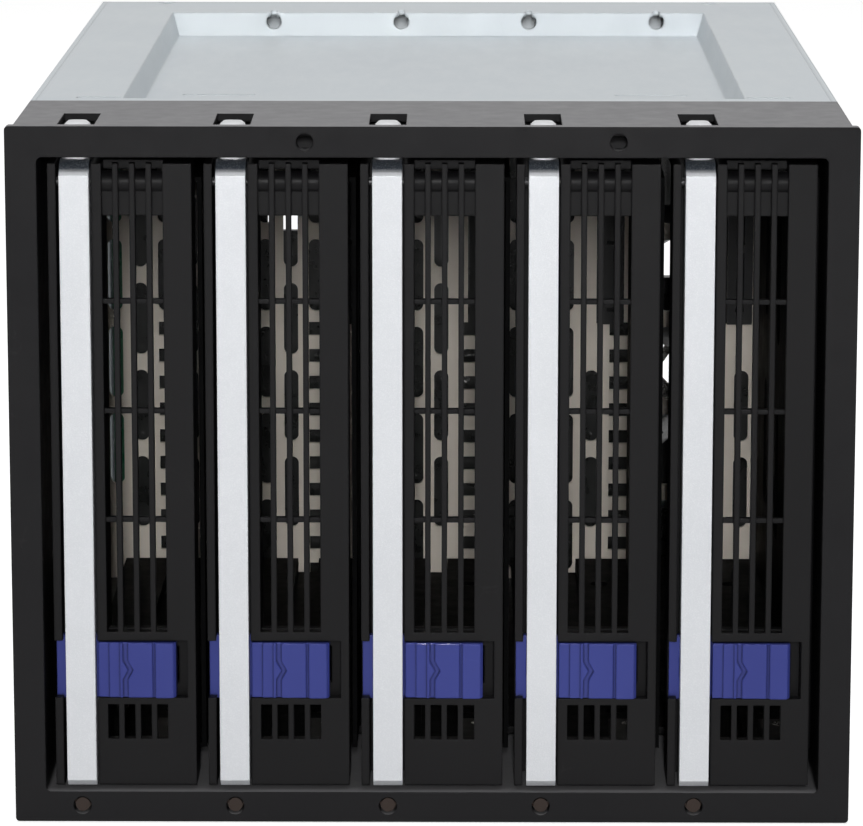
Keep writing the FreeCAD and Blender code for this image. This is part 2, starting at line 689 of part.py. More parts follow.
def guide(label, root, face, floor):
    """Moulded guide: a floor plate and pairs of walls, one groove for each tray's runner."""
    owner = body()
    start = cell("frame_depth") + cell("guide_fit")
    length = bracket_front - cell("guide_end") - start
    fit = cell("guide_fit")
    web = cell("guide_web")
    left = first_tray - tray_half + runner_left - fit
    right = first_tray - tray_half + runner_right + fit
    half = half_body - 2 * steel - fit
    low, high = sorted((floor, root), key=lambda level: level.number)
    if (high - low - web).number > 0:
        low = high - web
    sketch = sketch_on(owner, "XZ_Plane", start)
    rectangle(sketch, -half, low, half, high)
    extend(owner, "Pad", sketch, length, True)
    low, high = sorted((face, root), key=lambda level: level.number)
    for near, far in ((left - web, left), (right, right + web)):
        sketch = sketch_on(owner, "XZ_Plane", start)
        rectangle(sketch, near, low, far, high)
        wall = extend(owner, "Pad", sketch, length, True)
        repeat(owner, wall, "X_Axis", row_length, TRAYS)
    low, high = sorted((floor, root), key=lambda level: level.number)
    sketch = sketch_on(owner, "XZ_Plane", start)
    for side in (-1, 1):
        rectangle(sketch, side * half, low, side * (half - web), high)
    extend(owner, "Pad", sketch, length, True)
    place(owner, label)


def guides():
    """Lower and upper guide; the runners run in their grooves with the guide clearance."""
    fit = cell("guide_fit")
    drop = cell("runner_drop")
    guide("guide_bottom", steel, pan_low - fit, pan_low - drop - fit)
    guide("guide_top", recess_top - steel, pan_top + fit, pan_top + drop + fit)


def tall_holes(owner, columns, skip=1, count=1):
    """Tall holes with round ends through the bracket, in rows of copies across it.

    Columns gives the heights of the holes by the number of their column, counted from the
    middle; the next copy stands a number of columns further right.
    """
    sketch = sketch_on(owner, "XZ_Plane", bracket_front)
    half = cell("hole_width") / 2
    for column, middles in columns.items():
        across = cell("hole_first") + column * cell("hole_step")
        for middle in middles:
            rounded(sketch, across - half, middle - cell("hole_rise") / 2,
                    across + half, middle + cell("hole_rise") / 2, cell("hole_end"))
    holes = extend(owner, "Pocket", sketch, steel)
    if count > 1:
        repeat(owner, holes, "X_Axis", (count - 1) * skip * cell("hole_step"), count)


def notch_columns(owner, column, skip, count):
    """Columns of notches through the bracket, the first at the left edge of a column of holes."""
    sketch = sketch_on(owner, "XZ_Plane", bracket_front)
    left = cell("hole_first") + column * cell("hole_step") - cell("hole_width") / 2
    for number in range(NOTCHES):
        high = cell("notch_high") - number * cell("notch_pitch")
        rectangle(sketch, left, high - cell("notch_rise"), left + cell("notch_width"), high)
    notches = extend(owner, "Pocket", sketch, steel)
    repeat(owner, notches, "X_Axis", (count - 1) * skip * cell("hole_step"), count)


def backplane_bracket():
    """Galvanised bracket across the rear: socket windows, staggered tall holes, notch columns.

    Odd columns of holes stand half a pitch lower than even ones. Every sixth column carries
    notches in place of its lower holes, and the upper holes stand in threes between the windows.
    """
    owner = body()
    half = half_body - 2 * steel
    sketch = sketch_on(owner, "XZ_Plane", bracket_front)
    rectangle(sketch, -half, steel, half, recess_top - steel)
    extend(owner, "Pad", sketch, steel, True)
    fit = cell("guide_fit")
    sketch = sketch_on(owner, "XZ_Plane", bracket_front)
    half_socket = cell("socket_width") / 2 + fit
    rectangle(sketch, first_socket - half_socket, cell("socket_low") - fit,
              first_socket + half_socket, cell("socket_low") + cell("socket_rise") + fit)
    windows = extend(owner, "Pocket", sketch, steel)
    repeat(owner, windows, "X_Axis", row_length, TRAYS)
    notch_columns(owner, -11, 6, 5)

    rise = cell("hole_pitch")
    even = [cell("hole_low") + row * rise for row in range(4)]
    odd = [cell("hole_low") + (row - 0.5) * rise for row in range(5)]
    even_low, even_high = even[:2], even[2:]
    odd_low, odd_high = odd[:3], odd[3:]
    tall_holes(owner, {-9: odd_low, -7: odd_low}, 6, 4)
    tall_holes(owner, {-12: even_low}, 2, 13)
    tall_holes(owner, {-13: odd[1:]})
    tall_holes(owner, {-12: even_high, -11: odd_high, -10: even_high}, 10, 3)
    tall_holes(owner, {-7: odd_high, -6: even_high, -5: odd_high}, 10, 2)
    place(owner, "backplane_bracket")


def board_corners():
    """Where the four board screws stand."""
    half = half_body - steel - cell("board_inset")
    low = steel + cell("board_inset")
    high = recess_top - steel - cell("board_inset")
    return [(side * half, up) for side in (-1, 1) for up in (low, high)]


def backplane_board():
    """Circuit board with its cable gap and an air slot behind each of the two right bays."""
    owner = body()
    margin = cell("board_margin")
    half = half_body - steel - margin
    sketch = sketch_on(owner, "XZ_Plane", board_front)
    rectangle(sketch, -half, steel + margin, half, recess_top - steel - margin)
    extend(owner, "Pad", sketch, cell("board_thick"), True)
    sketch = sketch_on(owner, "XZ_Plane", board_front)
    for across, up in board_corners():
        circle(sketch, across, up, cell("screw_radius"))
    gap_left, gap_low = cell("gap_left"), cell("gap_low")
    rectangle(sketch, gap_left, gap_low, gap_left + cell("gap_width"), gap_low + cell("gap_rise"))
    extend(owner, "Pocket", sketch, cell("board_thick"))
    sketch = sketch_on(owner, "XZ_Plane", board_front)
    slot_left = first_tray + 3 * pitch - tray_half + lever_left
    slot_low = cell("board_slot_low")
    rectangle(sketch, slot_left, slot_low,
              slot_left + cell("board_slot_width"), slot_low + cell("board_slot_rise"))
    slots = extend(owner, "Pocket", sketch, cell("board_thick"))
    repeat(owner, slots, "X_Axis", pitch, 2)
    place(owner, "backplane_board")


def board_screws():
    """Screws and spacers that hold the board behind its bracket."""
    screws = []
    for across, up in board_corners():
        spacer = rod("y", cell("head_radius"), (across, bracket_front + steel, up), cell("standoff"))
        shank = rod("y", cell("screw_radius"), (across, board_front, up), cell("board_thick"))
        head = rod("y", cell("head_radius"), (across, board_back, up), cell("head_thick"))
        screws.append(fuse([spacer, shank, head]))
    place(group(screws), "board_screws")


def drive_sockets():
    """Drive sockets on the front of the board, one for each tray, each with its tongue slot."""
    sockets = []
    for number in range(TRAYS):
        middle = first_socket + number * pitch
        low = cell("socket_low")
        high = low + cell("socket_rise")
        half = cell("socket_width") / 2
        mouth = board_front - cell("socket_depth")
        shell = block((middle - half, mouth, low), (middle + half, board_front, high))
        slot = cell("socket_slot") / 2
        end = cell("socket_end")
        key = low + cell("socket_key")
        floor = board_front - cell("board_thick")
        data = block((middle - slot, mouth, low + end), (middle + slot, floor, key - slot))
        power = block((middle - slot, mouth, key + slot), (middle + slot, floor, high - end))
        sockets.append(cut(shell, [data, power]))
    place(group(sockets), "drive_sockets")


def port_middle():
    """Middle of the data ports and power inlets, in the cable window."""
    return (rear_window_left + rear_window_right) / 2


def first_port_low():
    """Bottom of the lowest data port; the column stands in the middle of the cable window."""
    column = (TRAYS - 1) * cell("port_pitch") + cell("port_rise")
    return (cell("rear_window_low") + rear_window_high - column) / 2


def data_ports():
    """Data ports in a column on the back of the board, each an open shell with a tongue."""
    ports = []
    wall = cell("port_wall")
    half = cell("port_width") / 2
    middle = port_middle()
    for number in range(TRAYS):
        low = first_port_low() + number * cell("port_pitch")
        high = low + cell("port_rise")
        mouth = board_back + cell("port_depth")
        shell = block((middle - half, board_back, low), (middle + half, mouth, high))
        cavity = block((middle - half + wall, board_back + wall, low + wall),
                       (middle + half - wall, mouth, high - wall))
        tongue_low = low + cell("port_rise") / 2
        tongue = block((middle - half + 2 * wall, board_back, tongue_low),
                       (middle + half - 3 * wall, mouth - wall, tongue_low + wall))
        ports.append(fuse([cut(shell, [cavity]), tongue]))
    place(group(ports), "data_ports")


def power_inlets():
    """Two four-pin power inlets, below and above the data ports."""
    inlets = []
    wall = cell("inlet_wall")
    half = cell("inlet_width") / 2
    middle = port_middle()
    gap = cell("port_pitch") - cell("port_rise")
    low_inlet = first_port_low() - gap - cell("inlet_rise")
    high_inlet = first_port_low() + TRAYS * cell("port_pitch")
    for low in (low_inlet, high_inlet):
        high = low + cell("inlet_rise")
        mouth = board_back + cell("inlet_depth")
        sketch_body = body()
        sketch = sketch_on(sketch_body, "XZ_Plane", board_back)
        chamfer = cell("inlet_chamfer")
        polygon(sketch, [(middle - half, low), (middle + half, low), (middle + half, high - chamfer),
                         (middle + half - chamfer, high), (middle - half + chamfer, high),
                         (middle - half, high - chamfer)])
        extend(sketch_body, "Pad", sketch, cell("inlet_depth"), True)
        sketch = sketch_on(sketch_body, "XZ_Plane", mouth)
        inner = half - wall
        polygon(sketch, [(middle - inner, low + wall), (middle + inner, low + wall),
                         (middle + inner, high - chamfer - wall / 2),
                         (middle + inner - chamfer, high - wall),
                         (middle - inner + chamfer, high - wall),
                         (middle - inner, high - chamfer - wall / 2)])
        extend(sketch_body, "Pocket", sketch, cell("inlet_depth") - wall, True)
        pins = []
        for number in range(4):
            across = middle + (number - 1.5) * cell("inlet_pitch")
            up = (low + high) / 2
            pins.append(rod("y", cell("inlet_pin"), (across, board_back, up),
                            cell("inlet_depth") - 2 * wall))
        inlets.append(fuse([sketch_body] + pins))
    place(group(inlets), "power_inlets")


# ---- Fan -------------------------------------------------------------------------------------

def fan_frame():
    """Square fan frame with its duct, screw holes, struts, motor plate and bearing tube."""
    owner = body()
    half = cell("fan_side") / 2
    middle, up = fan_middle, cell("fan_rise")
    sketch = sketch_on(owner, "XZ_Plane", fan_front)
    rounded(sketch, middle - half, up - half, middle + half, up + half, cell("fan_corner"))
    circle(sketch, middle, up, cell("fan_bore"))
    extend(owner, "Pad", sketch, cell("fan_depth"), True)
    sketch = sketch_on(owner, "XZ_Plane", fan_front)
    for across, rise in fan_corners():
        circle(sketch, across, rise, cell("fan_hole"))
    extend(owner, "Pocket", sketch, cell("fan_depth"))
    plate_front = fan_back - cell("strut_depth")
    sketch = sketch_on(owner, "XZ_Plane", plate_front)
    circle(sketch, middle, up, cell("hub_radius"))
    extend(owner, "Pad", sketch, cell("strut_depth"), True)
    width = cell("strut_width") / 2
    for long_way in (True, False):
        sketch = sketch_on(owner, "XZ_Plane", plate_front)
        reach = cell("fan_bore") + width
        across, rise = (reach, width) if long_way else (width, reach)
        rectangle(sketch, middle - across, up - rise, middle + across, up + rise)
        extend(owner, "Pad", sketch, cell("strut_depth"), True)
    tube_length = cell("hub_depth") - cell("hub_wall") - 2 * cell("hub_gap")
    sketch = sketch_on(owner, "XZ_Plane", plate_front)
    circle(sketch, middle, up, cell("bearing_radius"))
    extend(owner, "Pad", sketch, tube_length)
    sketch = sketch_on(owner, "XZ_Plane", plate_front - tube_length)
    circle(sketch, middle, up, cell("shaft_radius") + cell("shaft_fit"))
    extend(owner, "Pocket", sketch, tube_length)
    place(owner, "fan_frame")


def blade_section(radius, turn, start):
    """Curved section of a blade on a plane at one radius: a bent chord with an even thickness."""
    half_thick = sheet.get("blade_thick") / 2
    depth = sheet.get("blade_depth")
    sweep = math.radians(turn)
    slope = math.atan2(radius * sweep, depth)
    front_side, back_side = [], []
    for step in range(BLADE_STEPS + 1):
        share = step / BLADE_STEPS
        around = radius * sweep * (share - 0.5 + math.sin(math.pi * share) / 6)
        along = start + depth * share
        lean_x, lean_y = half_thick * math.cos(slope), half_thick * math.sin(slope)
        front_side.append(FreeCAD.Vector(around - lean_x, along + lean_y, radius))
        back_side.append(FreeCAD.Vector(around + lean_x, along - lean_y, radius))
    curves = [front_side, back_side[::-1]]
    edges = []
    for points, following in zip(curves, curves[::-1]):
        spline = Part.BSplineCurve()
        spline.interpolate(points)
        edges.append(spline.toShape())
        edges.append(Part.LineSegment(points[-1], following[0]).toShape())
    return Part.Wire(edges)


def fan_rotor():
    """Fan rotor: hub cup, shaft and twisted blades lofted from hub to tip."""
    size = sheet.get
    axis = FreeCAD.Vector(0, 1, 0)
    root = size("hub_radius") - size("hub_wall") / 2
    tip = size("fan_bore") - size("tip_gap") - size("blade_thick") / 2
    start = (size("hub_depth") - size("blade_depth")) / 2
    turn = size("blade_twist")
    sections = [
        blade_section(root, turn, start),
        blade_section((root + tip) / 2, turn * 0.85, start),
        blade_section(tip, turn * 0.7, start),
    ]
    blade = Part.makeLoft(sections, True)
    blades = []
    for number in range(BLADES):
        copy = blade.copy()
        copy.rotate(FreeCAD.Vector(), axis, number * 360 / BLADES)
        blades.append(copy)
    rotor = Part.makeCylinder(size("hub_radius"), size("hub_depth"), FreeCAD.Vector(), axis).fuse(blades)
    inner = size("hub_radius") - size("hub_wall")
    floor = FreeCAD.Vector(0, size("hub_wall"), 0)
    rotor = rotor.cut(Part.makeCylinder(inner, size("hub_depth"), floor, axis))
    shaft_length = size("hub_depth") - size("hub_gap")
    rotor = rotor.fuse(Part.makeCylinder(size("shaft_radius"), shaft_length, FreeCAD.Vector(), axis))
    thing = doc.addObject("Part::Feature", "Rotor")
    thing.Shape = rotor
    hub_back = fan_back - cell("strut_depth") - cell("hub_gap")
    place(thing, "fan_rotor", fan_middle, hub_back - cell("hub_depth"), cell("fan_rise"))


def fan_corners():
    """Where the four fan screws stand."""
    half = cell("fan_pitch") / 2
    middle, up = fan_middle, cell("fan_rise")
    return [(middle + across * half, up + rise * half) for across in (-1, 1) for rise in (-1, 1)]


def fan_guard():
    """Stamped finger guard: rings on crossed bars that end in screw eyes."""
    owner = body()
    thick = cell("guard_thick")
    middle, up = fan_middle, cell("fan_rise")
    sketch = sketch_on(owner, "XZ_Plane", chassis_back)
    for number in range(GUARD_RINGS):
        outer = cell("fan_bore") - number * cell("ring_step")
        circle(sketch, middle, up, outer)
        circle(sketch, middle, up, outer - cell("ring_width"))
    extend(owner, "Pad", sketch, thick, True)
    reach = cell("fan_pitch") / 2
    half = cell("ring_width") * 0.7
    for turn in (-1, 1):
        sketch = sketch_on(owner, "XZ_Plane", chassis_back)
        polygon(sketch, [
            (middle - reach - half, up - turn * (reach - half)),
            (middle - reach + half, up - turn * (reach + half)),
            (middle + reach + half, up + turn * (reach - half)),
            (middle + reach - half, up + turn * (reach + half)),
        ])
        extend(owner, "Pad", sketch, thick, True)
    eye = cell("head_radius") + cell("ring_width")
    for across, rise in fan_corners():
        sketch = sketch_on(owner, "XZ_Plane", chassis_back)
        circle(sketch, across, rise, eye)
        extend(owner, "Pad", sketch, thick, True)
    sketch = sketch_on(owner, "XZ_Plane", chassis_back)
    for across, rise in fan_corners():
        circle(sketch, across, rise, cell("fan_hole"))
    extend(owner, "Pocket", sketch, thick)
    place(owner, "fan_guard")


def fan_screws():
    """Fan screws through the guard eyes and the rear panel into the fan frame."""
    screws = []
    seat = chassis_back + cell("guard_thick")
    length = cell("guard_thick") + steel + cell("fan_depth") / 2
    for across, up in fan_corners():
        shank = rod("y", cell("fan_hole"), (across, seat - length, up), length)
        head = rod("y", cell("head_radius") + cell("ring_width") / 2, (across, seat, up), cell("head_thick"))
        screws.append(fuse([shank, head]))
    place(group(screws), "fan_screws")


# ---- One tray --------------------------------------------------------------------------------

def tray_place(number):
    """Left side of a tray's bezel, across the front."""
    return first_tray - tray_half + number * pitch


def slot_left(number):
    """Left side of one of the four air slots."""
    start = channel_right + cell("first_rib")
    return start + number * (cell("slot_width") + cell("thin_rib"))


def tray_bezel(number):
    """Moulded tray bezel: lever channel, ribs and air slots, pin boss, latch pocket, screw lugs."""
    owner = body()
    face = cell("tray_recess")
    plate_back = face + cell("bezel_plate")
    width = cell("tray_width")
    wall = cell("bezel_wall")
    channel_left = cell("left_rib")
    channel_back = bezel_back - wall
    fit = cell("latch_fit")
    strip_left = slot_left(SLOTS) - cell("thin_rib")
    slots_low = latch_high + cell("slot_above")

    sketch = sketch_on(owner, "XZ_Plane", face)
    rectangle(sketch, 0, tray_low, width, tray_top)
    extend(owner, "Pad", sketch, cell("bezel_depth"), True)

    # hollow behind the face, right of the lever channel
    rib_right = channel_right + cell("first_rib")
    sketch = sketch_on(owner, "XZ_Plane", bezel_back)
    rectangle(sketch, rib_right, tray_low + wall, width - wall, tray_top - wall)
    extend(owner, "Pocket", sketch, bezel_back - plate_back, True)

    # lever channel, open at the front, top and bottom
    sketch = sketch_on(owner, "XZ_Plane", face)
    rectangle(sketch, channel_left, tray_low, channel_right, tray_top)
    extend(owner, "Pocket", sketch, channel_back - face)

    # upper air slots, open at their tops, and lower ones
    slots_high = tray_top - cell("slot_drop")
    low_high = latch_low - cell("low_slot_drop")
    sketch = sketch_on(owner, "XZ_Plane", face)
    for slot in range(SLOTS):
        left = slot_left(slot)
        rectangle(sketch, left, slots_low, left + cell("slot_width"), tray_top)
        rectangle(sketch, left, low_high - cell("low_slot_rise"), left + cell("slot_width"), low_high)
    extend(owner, "Pocket", sketch, cell("bezel_plate"))
    sketch = sketch_on(owner, "XZ_Plane", plate_back)
    rectangle(sketch, rib_right, tray_top - 2 * wall, strip_left, tray_top)
    extend(owner, "Pocket", sketch, cell("crown_depth"))

    # tie bars, web and pin boss behind the ribs
    tie_front = face + cell("bezel_plate") / 2
    sketch = sketch_on(owner, "XZ_Plane", tie_front)
    for tie in range(TIES):
        up = slots_high - cell("tie_drop") - tie * cell("tie_pitch")
        rectangle(sketch, rib_right - wall / 2, up - cell("tie_rise"), strip_left + wall / 2, up)
    extend(owner, "Pad", sketch, plate_back - tie_front, True)
    sketch = sketch_on(owner, "XZ_Plane", plate_back - wall / 4)
    rectangle(sketch, rib_right - wall / 2, slots_high, strip_left + wall / 2, pin_up)
    extend(owner, "Pad", sketch, wall / 2, True)
    sketch = sketch_on(owner, "YZ_Plane", rib_right - wall / 2)
    circle(sketch, cell("pin_depth"), pin_up, cell("boss_radius"))
    extend(owner, "Pad", sketch, strip_left - rib_right + wall)
    sketch = sketch_on(owner, "YZ_Plane", wall / 4)
    circle(sketch, cell("pin_depth"), pin_up, cell("pin_radius"))
    extend(owner, "Pocket", sketch, rib_right + cell("first_rib") * 2, True)

    # latch pocket in the face, the way of the latch plate behind it, its rails and the spring stop
    lip = cell("latch_lip")
    pocket_right = channel_right + cell("latch_reach") + cell("latch_travel") + 2 * fit
    sketch = sketch_on(owner, "XZ_Plane", face)
    rectangle(sketch, -wall, latch_low - fit, channel_left + wall / 8, latch_high + fit)
    rectangle(sketch, channel_right - wall / 8, latch_low - fit, pocket_right, latch_high + fit)
    extend(owner, "Pocket", sketch, cell("bezel_plate"))
    rail_front = plate_back + cell("latch_plate") + 2 * fit
    sketch = sketch_on(owner, "XZ_Plane", plate_back)
    rectangle(sketch, -wall, latch_low - lip - fit, rib_right + wall / 8, latch_high + lip + fit)
    extend(owner, "Pocket", sketch, rail_front - plate_back)
    sketch = sketch_on(owner, "XZ_Plane", rail_front)
    for low, high in ((latch_low - wall, latch_low + wall), (latch_high - wall, latch_high + wall)):
        rectangle(sketch, rib_right - wall / 2, low, width - wall / 2, high)
    extend(owner, "Pad", sketch, wall, True)
    sketch = sketch_on(owner, "XZ_Plane", rail_front)
    rectangle(sketch, width - 2 * wall, latch_low, width - wall / 2, latch_high)
    extend(owner, "Pad", sketch, channel_back - rail_front, True)

    # screw lugs behind the end walls
    for low, high in ((pan_low + cell("tray_steel"), pan_low + cell("tray_steel") + cell("lug_thick")),
                      (pan_top - cell("tray_steel") - cell("lug_thick"), pan_top - cell("tray_steel"))):
        sketch = sketch_on(owner, "XZ_Plane", plate_back)
        lug_right = width - wall / 2
        rectangle(sketch, lug_right - cell("lug_width"), low, lug_right, high)
        extend(owner, "Pad", sketch, bezel_back + cell("lug_length") - plate_back, True)
    sketch = sketch_on(owner, "XY_Plane", pan_low)
    circle(sketch, tray_screw_across, tray_screw_back, cell("tray_screw_radius"))
    extend(owner, "Pocket", sketch, 2 * pan_half, True)
    place(owner, f"tray_bezel_{number + 1}", tray_place(number))


def tray_pan(number):
    """Folded steel pan: vented plate, two flanges with pressed runners, drive screw holes."""
    owner = body()
    sheet_thick = cell("tray_steel")
    outer = cell("tray_width") + cell("pan_overhang")
    left = cell("pan_inset")
    drop = cell("runner_drop")
    lower = [
        (left, pan_low), (runner_left, pan_low), (runner_left, pan_low - drop),
        (runner_right, pan_low - drop), (runner_right, pan_low), (outer, pan_low),
    ]
    low_inner = pan_low + sheet_thick
    lower_inner = [
        (outer - sheet_thick, low_inner), (runner_right - sheet_thick, low_inner),
        (runner_right - sheet_thick, low_inner - drop), (runner_left + sheet_thick, low_inner - drop),
        (runner_left + sheet_thick, low_inner), (left, low_inner),
    ]
    mirror = 2 * tray_middle
    upper = [(across, mirror - up) for across, up in reversed(lower)]
    upper_inner = [(across, mirror - up) for across, up in reversed(lower_inner)]
    sketch = sketch_on(owner, "XZ_Plane", bezel_back)
    polygon(sketch, lower + upper + upper_inner + lower_inner)
    extend(owner, "Pad", sketch, cell("pan_length"), True)

    # vents in the plate, in two rows
    half = cell("vent_width") / 2
    sketch = sketch_on(owner, "YZ_Plane", outer)
    start = bezel_back + cell("vent_pitch") / 2
    for row in (-1, 1):
        middle = tray_middle + row * cell("vent_row")
        rounded(sketch, start - half, middle - cell("vent_rise") / 2, start + half,
                middle + cell("vent_rise") / 2, cell("vent_end"))
    vents = extend(owner, "Pocket", sketch, sheet_thick)
    repeat(owner, vents, "Y_Axis", (VENTS - 1) * cell("vent_pitch"), VENTS)

    # drive screw holes in both flanges
    sketch = sketch_on(owner, "XY_Plane", pan_low)
    across = outer - sheet_thick - cell("drive_hole_rise")
    last = bezel_back + cell("lug_length") + cell("drive_length") - cell("drive_hole_first")
    for back in (last, last - cell("drive_hole_pitch")):
        circle(sketch, across, back, cell("drive_hole_radius"))
    circle(sketch, tray_screw_across, tray_screw_back, cell("tray_screw_radius"))
    extend(owner, "Pocket", sketch, 2 * pan_half, True)
    place(owner, f"tray_pan_{number + 1}", tray_place(number))


def tray_screws(number):
    """Screws that hold the pan's flanges to the lugs of the bezel."""
    screws = []
    across, back = tray_screw_across, tray_screw_back
    for low in (True, False):
        flange = pan_low if low else pan_top
        head_start = flange - cell("head_thick") if low else flange
        head = rod("z", cell("head_radius"), (across, back, head_start), cell("head_thick"))
        shank_start = flange if low else flange - cell("tray_steel") - cell("lug_thick")
        length = cell("tray_steel") + cell("lug_thick")
        shank = rod("z", cell("tray_screw_radius"), (across, back, shank_start), length)
        screws.append(fuse([head, shank]))
    return group(screws)


def lever_pin(number):
    """Steel pin from the left wall of the bezel through the lever into the boss."""
    start = cell("bezel_wall") / 4
    length = channel_right + 3 * cell("first_rib") - start
    pin = rod("x", cell("pin_radius"), (start, cell("pin_depth"), pin_up), length)
    place(group([pin]), f"lever_pin_{number + 1}", tray_place(number))


def lever(number):
    """Lever: hollow-backed bar with a round head about its pin, cut away where the latch passes."""
    owner = body()
    depth = cell("lever_depth")
    pin_back = cell("pin_depth")
    head = cell("lever_head")
    width = cell("lever_width")
    skin = cell("lever_skin")
    end = cell("lever_end")
    sketch = sketch_on(owner, "YZ_Plane", lever_left)
    top = pin_up + cell("lever_above")
    bevel = cell("lever_bevel")
    polygon(sketch, [(end, tray_low), (depth, tray_low), (depth, pin_up), (pin_back, top),
                     (bevel, top), (0, top - bevel), (0, tray_low + end)])
    extend(owner, "Pad", sketch, width)
    sketch = sketch_on(owner, "YZ_Plane", lever_left)
    circle(sketch, pin_back, pin_up, head)
    extend(owner, "Pad", sketch, width)
    sketch = sketch_on(owner, "XZ_Plane", depth)
    rectangle(sketch, lever_left + skin, tray_low + 2 * skin,
              lever_left + width - skin, pin_up - cell("lever_solid"))
    extend(owner, "Pocket", sketch, depth - skin, True)

    # notch for the latch plate, and the catch nose that stands through it
    notch_front = latch_plate_front - 2 * cell("latch_fit")
    overlap = cell("latch_lip") + 2 * cell("latch_fit")
    sketch = sketch_on(owner, "XZ_Plane", depth)
    rectangle(sketch, lever_left, latch_low - overlap, lever_left + width, latch_high + overlap)
    extend(owner, "Pocket", sketch, depth - notch_front, True)
    sketch = sketch_on(owner, "XZ_Plane", skin / 2)
    half_width, half_rise = cell("catch_width") / 2, cell("catch_length") / 2
    rectangle(sketch, lever_middle - half_width, latch_middle - half_rise,
              lever_middle + half_width, latch_middle + half_rise)
    extend(owner, "Pad", sketch, notch_front + cell("catch_reach") - skin / 2, True)
    sketch = sketch_on(owner, "YZ_Plane", lever_left)
    circle(sketch, pin_back, pin_up, cell("pin_radius") + cell("pin_fit"))
    extend(owner, "Pocket", sketch, width, True)
    place(owner, f"lever_{number + 1}", tray_place(number))


def latch(number):
    """Latch: grooved finger face on a wider plate, with its own spring arm behind."""
    owner = body()
    face = cell("tray_recess") - cell("latch_proud")
    fit = cell("latch_fit")
    left = channel_right + fit
    right = left + cell("latch_reach")
    plate = cell("latch_plate")
    groove = cell("groove")
    step = cell("latch_step")
    pad = right - cell("latch_pad")

    # finger face: stepped grip at the left, flat middle, chamfered pad at the right
    sketch = sketch_on(owner, "XY_Plane", latch_low)
    root = latch_plate_front + plate / 2
    polygon(sketch, [
        (left, root), (left, face + groove), (left + step, face + groove),
        (left + step, face + groove / 2), (left + 2 * step, face + groove / 2),
        (left + 2 * step, face), (pad - groove, face), (pad - groove, face + groove / 2),
        (pad, face + groove / 2), (pad, face - groove / 2), (right - groove, face - groove / 2),
        (right, face + groove), (right, root),
    ])
    extend(owner, "Pad", sketch, cell("latch_rise"))
    sketch = sketch_on(owner, "XZ_Plane", face)
    wave = left + 2 * step + groove
    tip = cell("latch_rise") / 6
    polygon(sketch, [
        (wave, latch_low), (wave + step / 2, latch_low), (wave + step / 2, latch_middle - tip),
        (wave + step, latch_middle), (wave + step / 2, latch_middle + tip),
        (wave + step / 2, latch_high), (wave, latch_high), (wave, latch_middle + tip),
        (wave + step / 2, latch_middle), (wave, latch_middle - tip),
    ])
    extend(owner, "Pocket", sketch, groove)

    # plate behind the bezel face and the lever, slotted for the lever's catch nose
    sketch = sketch_on(owner, "XZ_Plane", latch_plate_front)
    lip = cell("latch_lip")
    rectangle(sketch, fit, latch_low - lip, right, latch_high + lip)
    half_width, half_rise = cell("catch_width") / 2 + fit, cell("catch_length") / 2 + fit
    rectangle(sketch, lever_middle - half_width - cell("latch_travel"), latch_middle - half_rise,
              lever_middle + half_width, latch_middle + half_rise)
    extend(owner, "Pad", sketch, plate, True)

    # spring arm: a bowed leaf from the plate toward the stop
    leaf = cell("spring_leaf")
    rear = latch_plate_front + plate
    arm = left + step
    bend = left + cell("latch_reach") / 2
    bow = rear + cell("spring_bow")
    stop = cell("tray_width") - 2 * cell("bezel_wall") - cell("latch_travel") - fit
    sketch = sketch_on(owner, "XY_Plane", latch_middle - cell("catch_length") / 2)
    polygon(sketch, [
        (arm, rear - leaf / 2), (arm + leaf, rear - leaf / 2), (bend, bow - leaf),
        (stop - leaf, rear + 2 * fit), (stop, rear + 2 * fit), (bend + leaf / 2, bow), (bend - leaf / 2, bow),
    ])
    extend(owner, "Pad", sketch, cell("catch_length"))
    place(owner, f"latch_{number + 1}", tray_place(number))


def build():
    """Make every piece of the cage."""
    front_frame()
    led_lenses()
    chassis_shell()
    top_cover()
    rear_panel()
    guides()
    backplane_bracket()
    backplane_board()
    board_screws()
    drive_sockets()
    data_ports()
    power_inlets()
    fan_frame()
    fan_rotor()
    fan_guard()
    fan_screws()
    for number in range(TRAYS):
        tray_bezel(number)
        tray_pan(number)
        place(tray_screws(number), f"tray_screws_{number + 1}", tray_place(number))
        lever_pin(number)
        lever(number)
        latch(number)


def check():
    """Stop if any object failed or any piece has no valid solid."""
    for thing in doc.Objects:
        if "Invalid" in thing.State or "Error" in thing.State:
            raise RuntimeError(f"{thing.Name} {thing.Label} failed: {thing.State}")
    for piece in pieces:
        shape = piece.Shape
        if shape.isNull() or not shape.isValid() or not shape.Solids:
            raise RuntimeError(f"{piece.Label} has no valid solid")


def write():
    """Write one STEP file for each piece."""
    os.makedirs("parts", exist_ok=True)
    for piece in pieces:
        piece.Shape.exportStep(f"parts/{piece.Label}.step")


build()
doc.recompute()
check()
write()
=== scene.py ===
"""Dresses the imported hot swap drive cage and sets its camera, lamps and floor.

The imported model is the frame: every solid keeps its mesh and its place, and only gets a finish
and, on levers and latches, rounded edges. The locking tips that the solids leave out are new
surfaces in the same frame, each riding on its lever.
"""

from __future__ import annotations

import json
import logging
import math
from dataclasses import dataclass, field
from enum import Enum
from typing import Sequence

import bpy
import numpy as np
from mathutils import Matrix, Vector


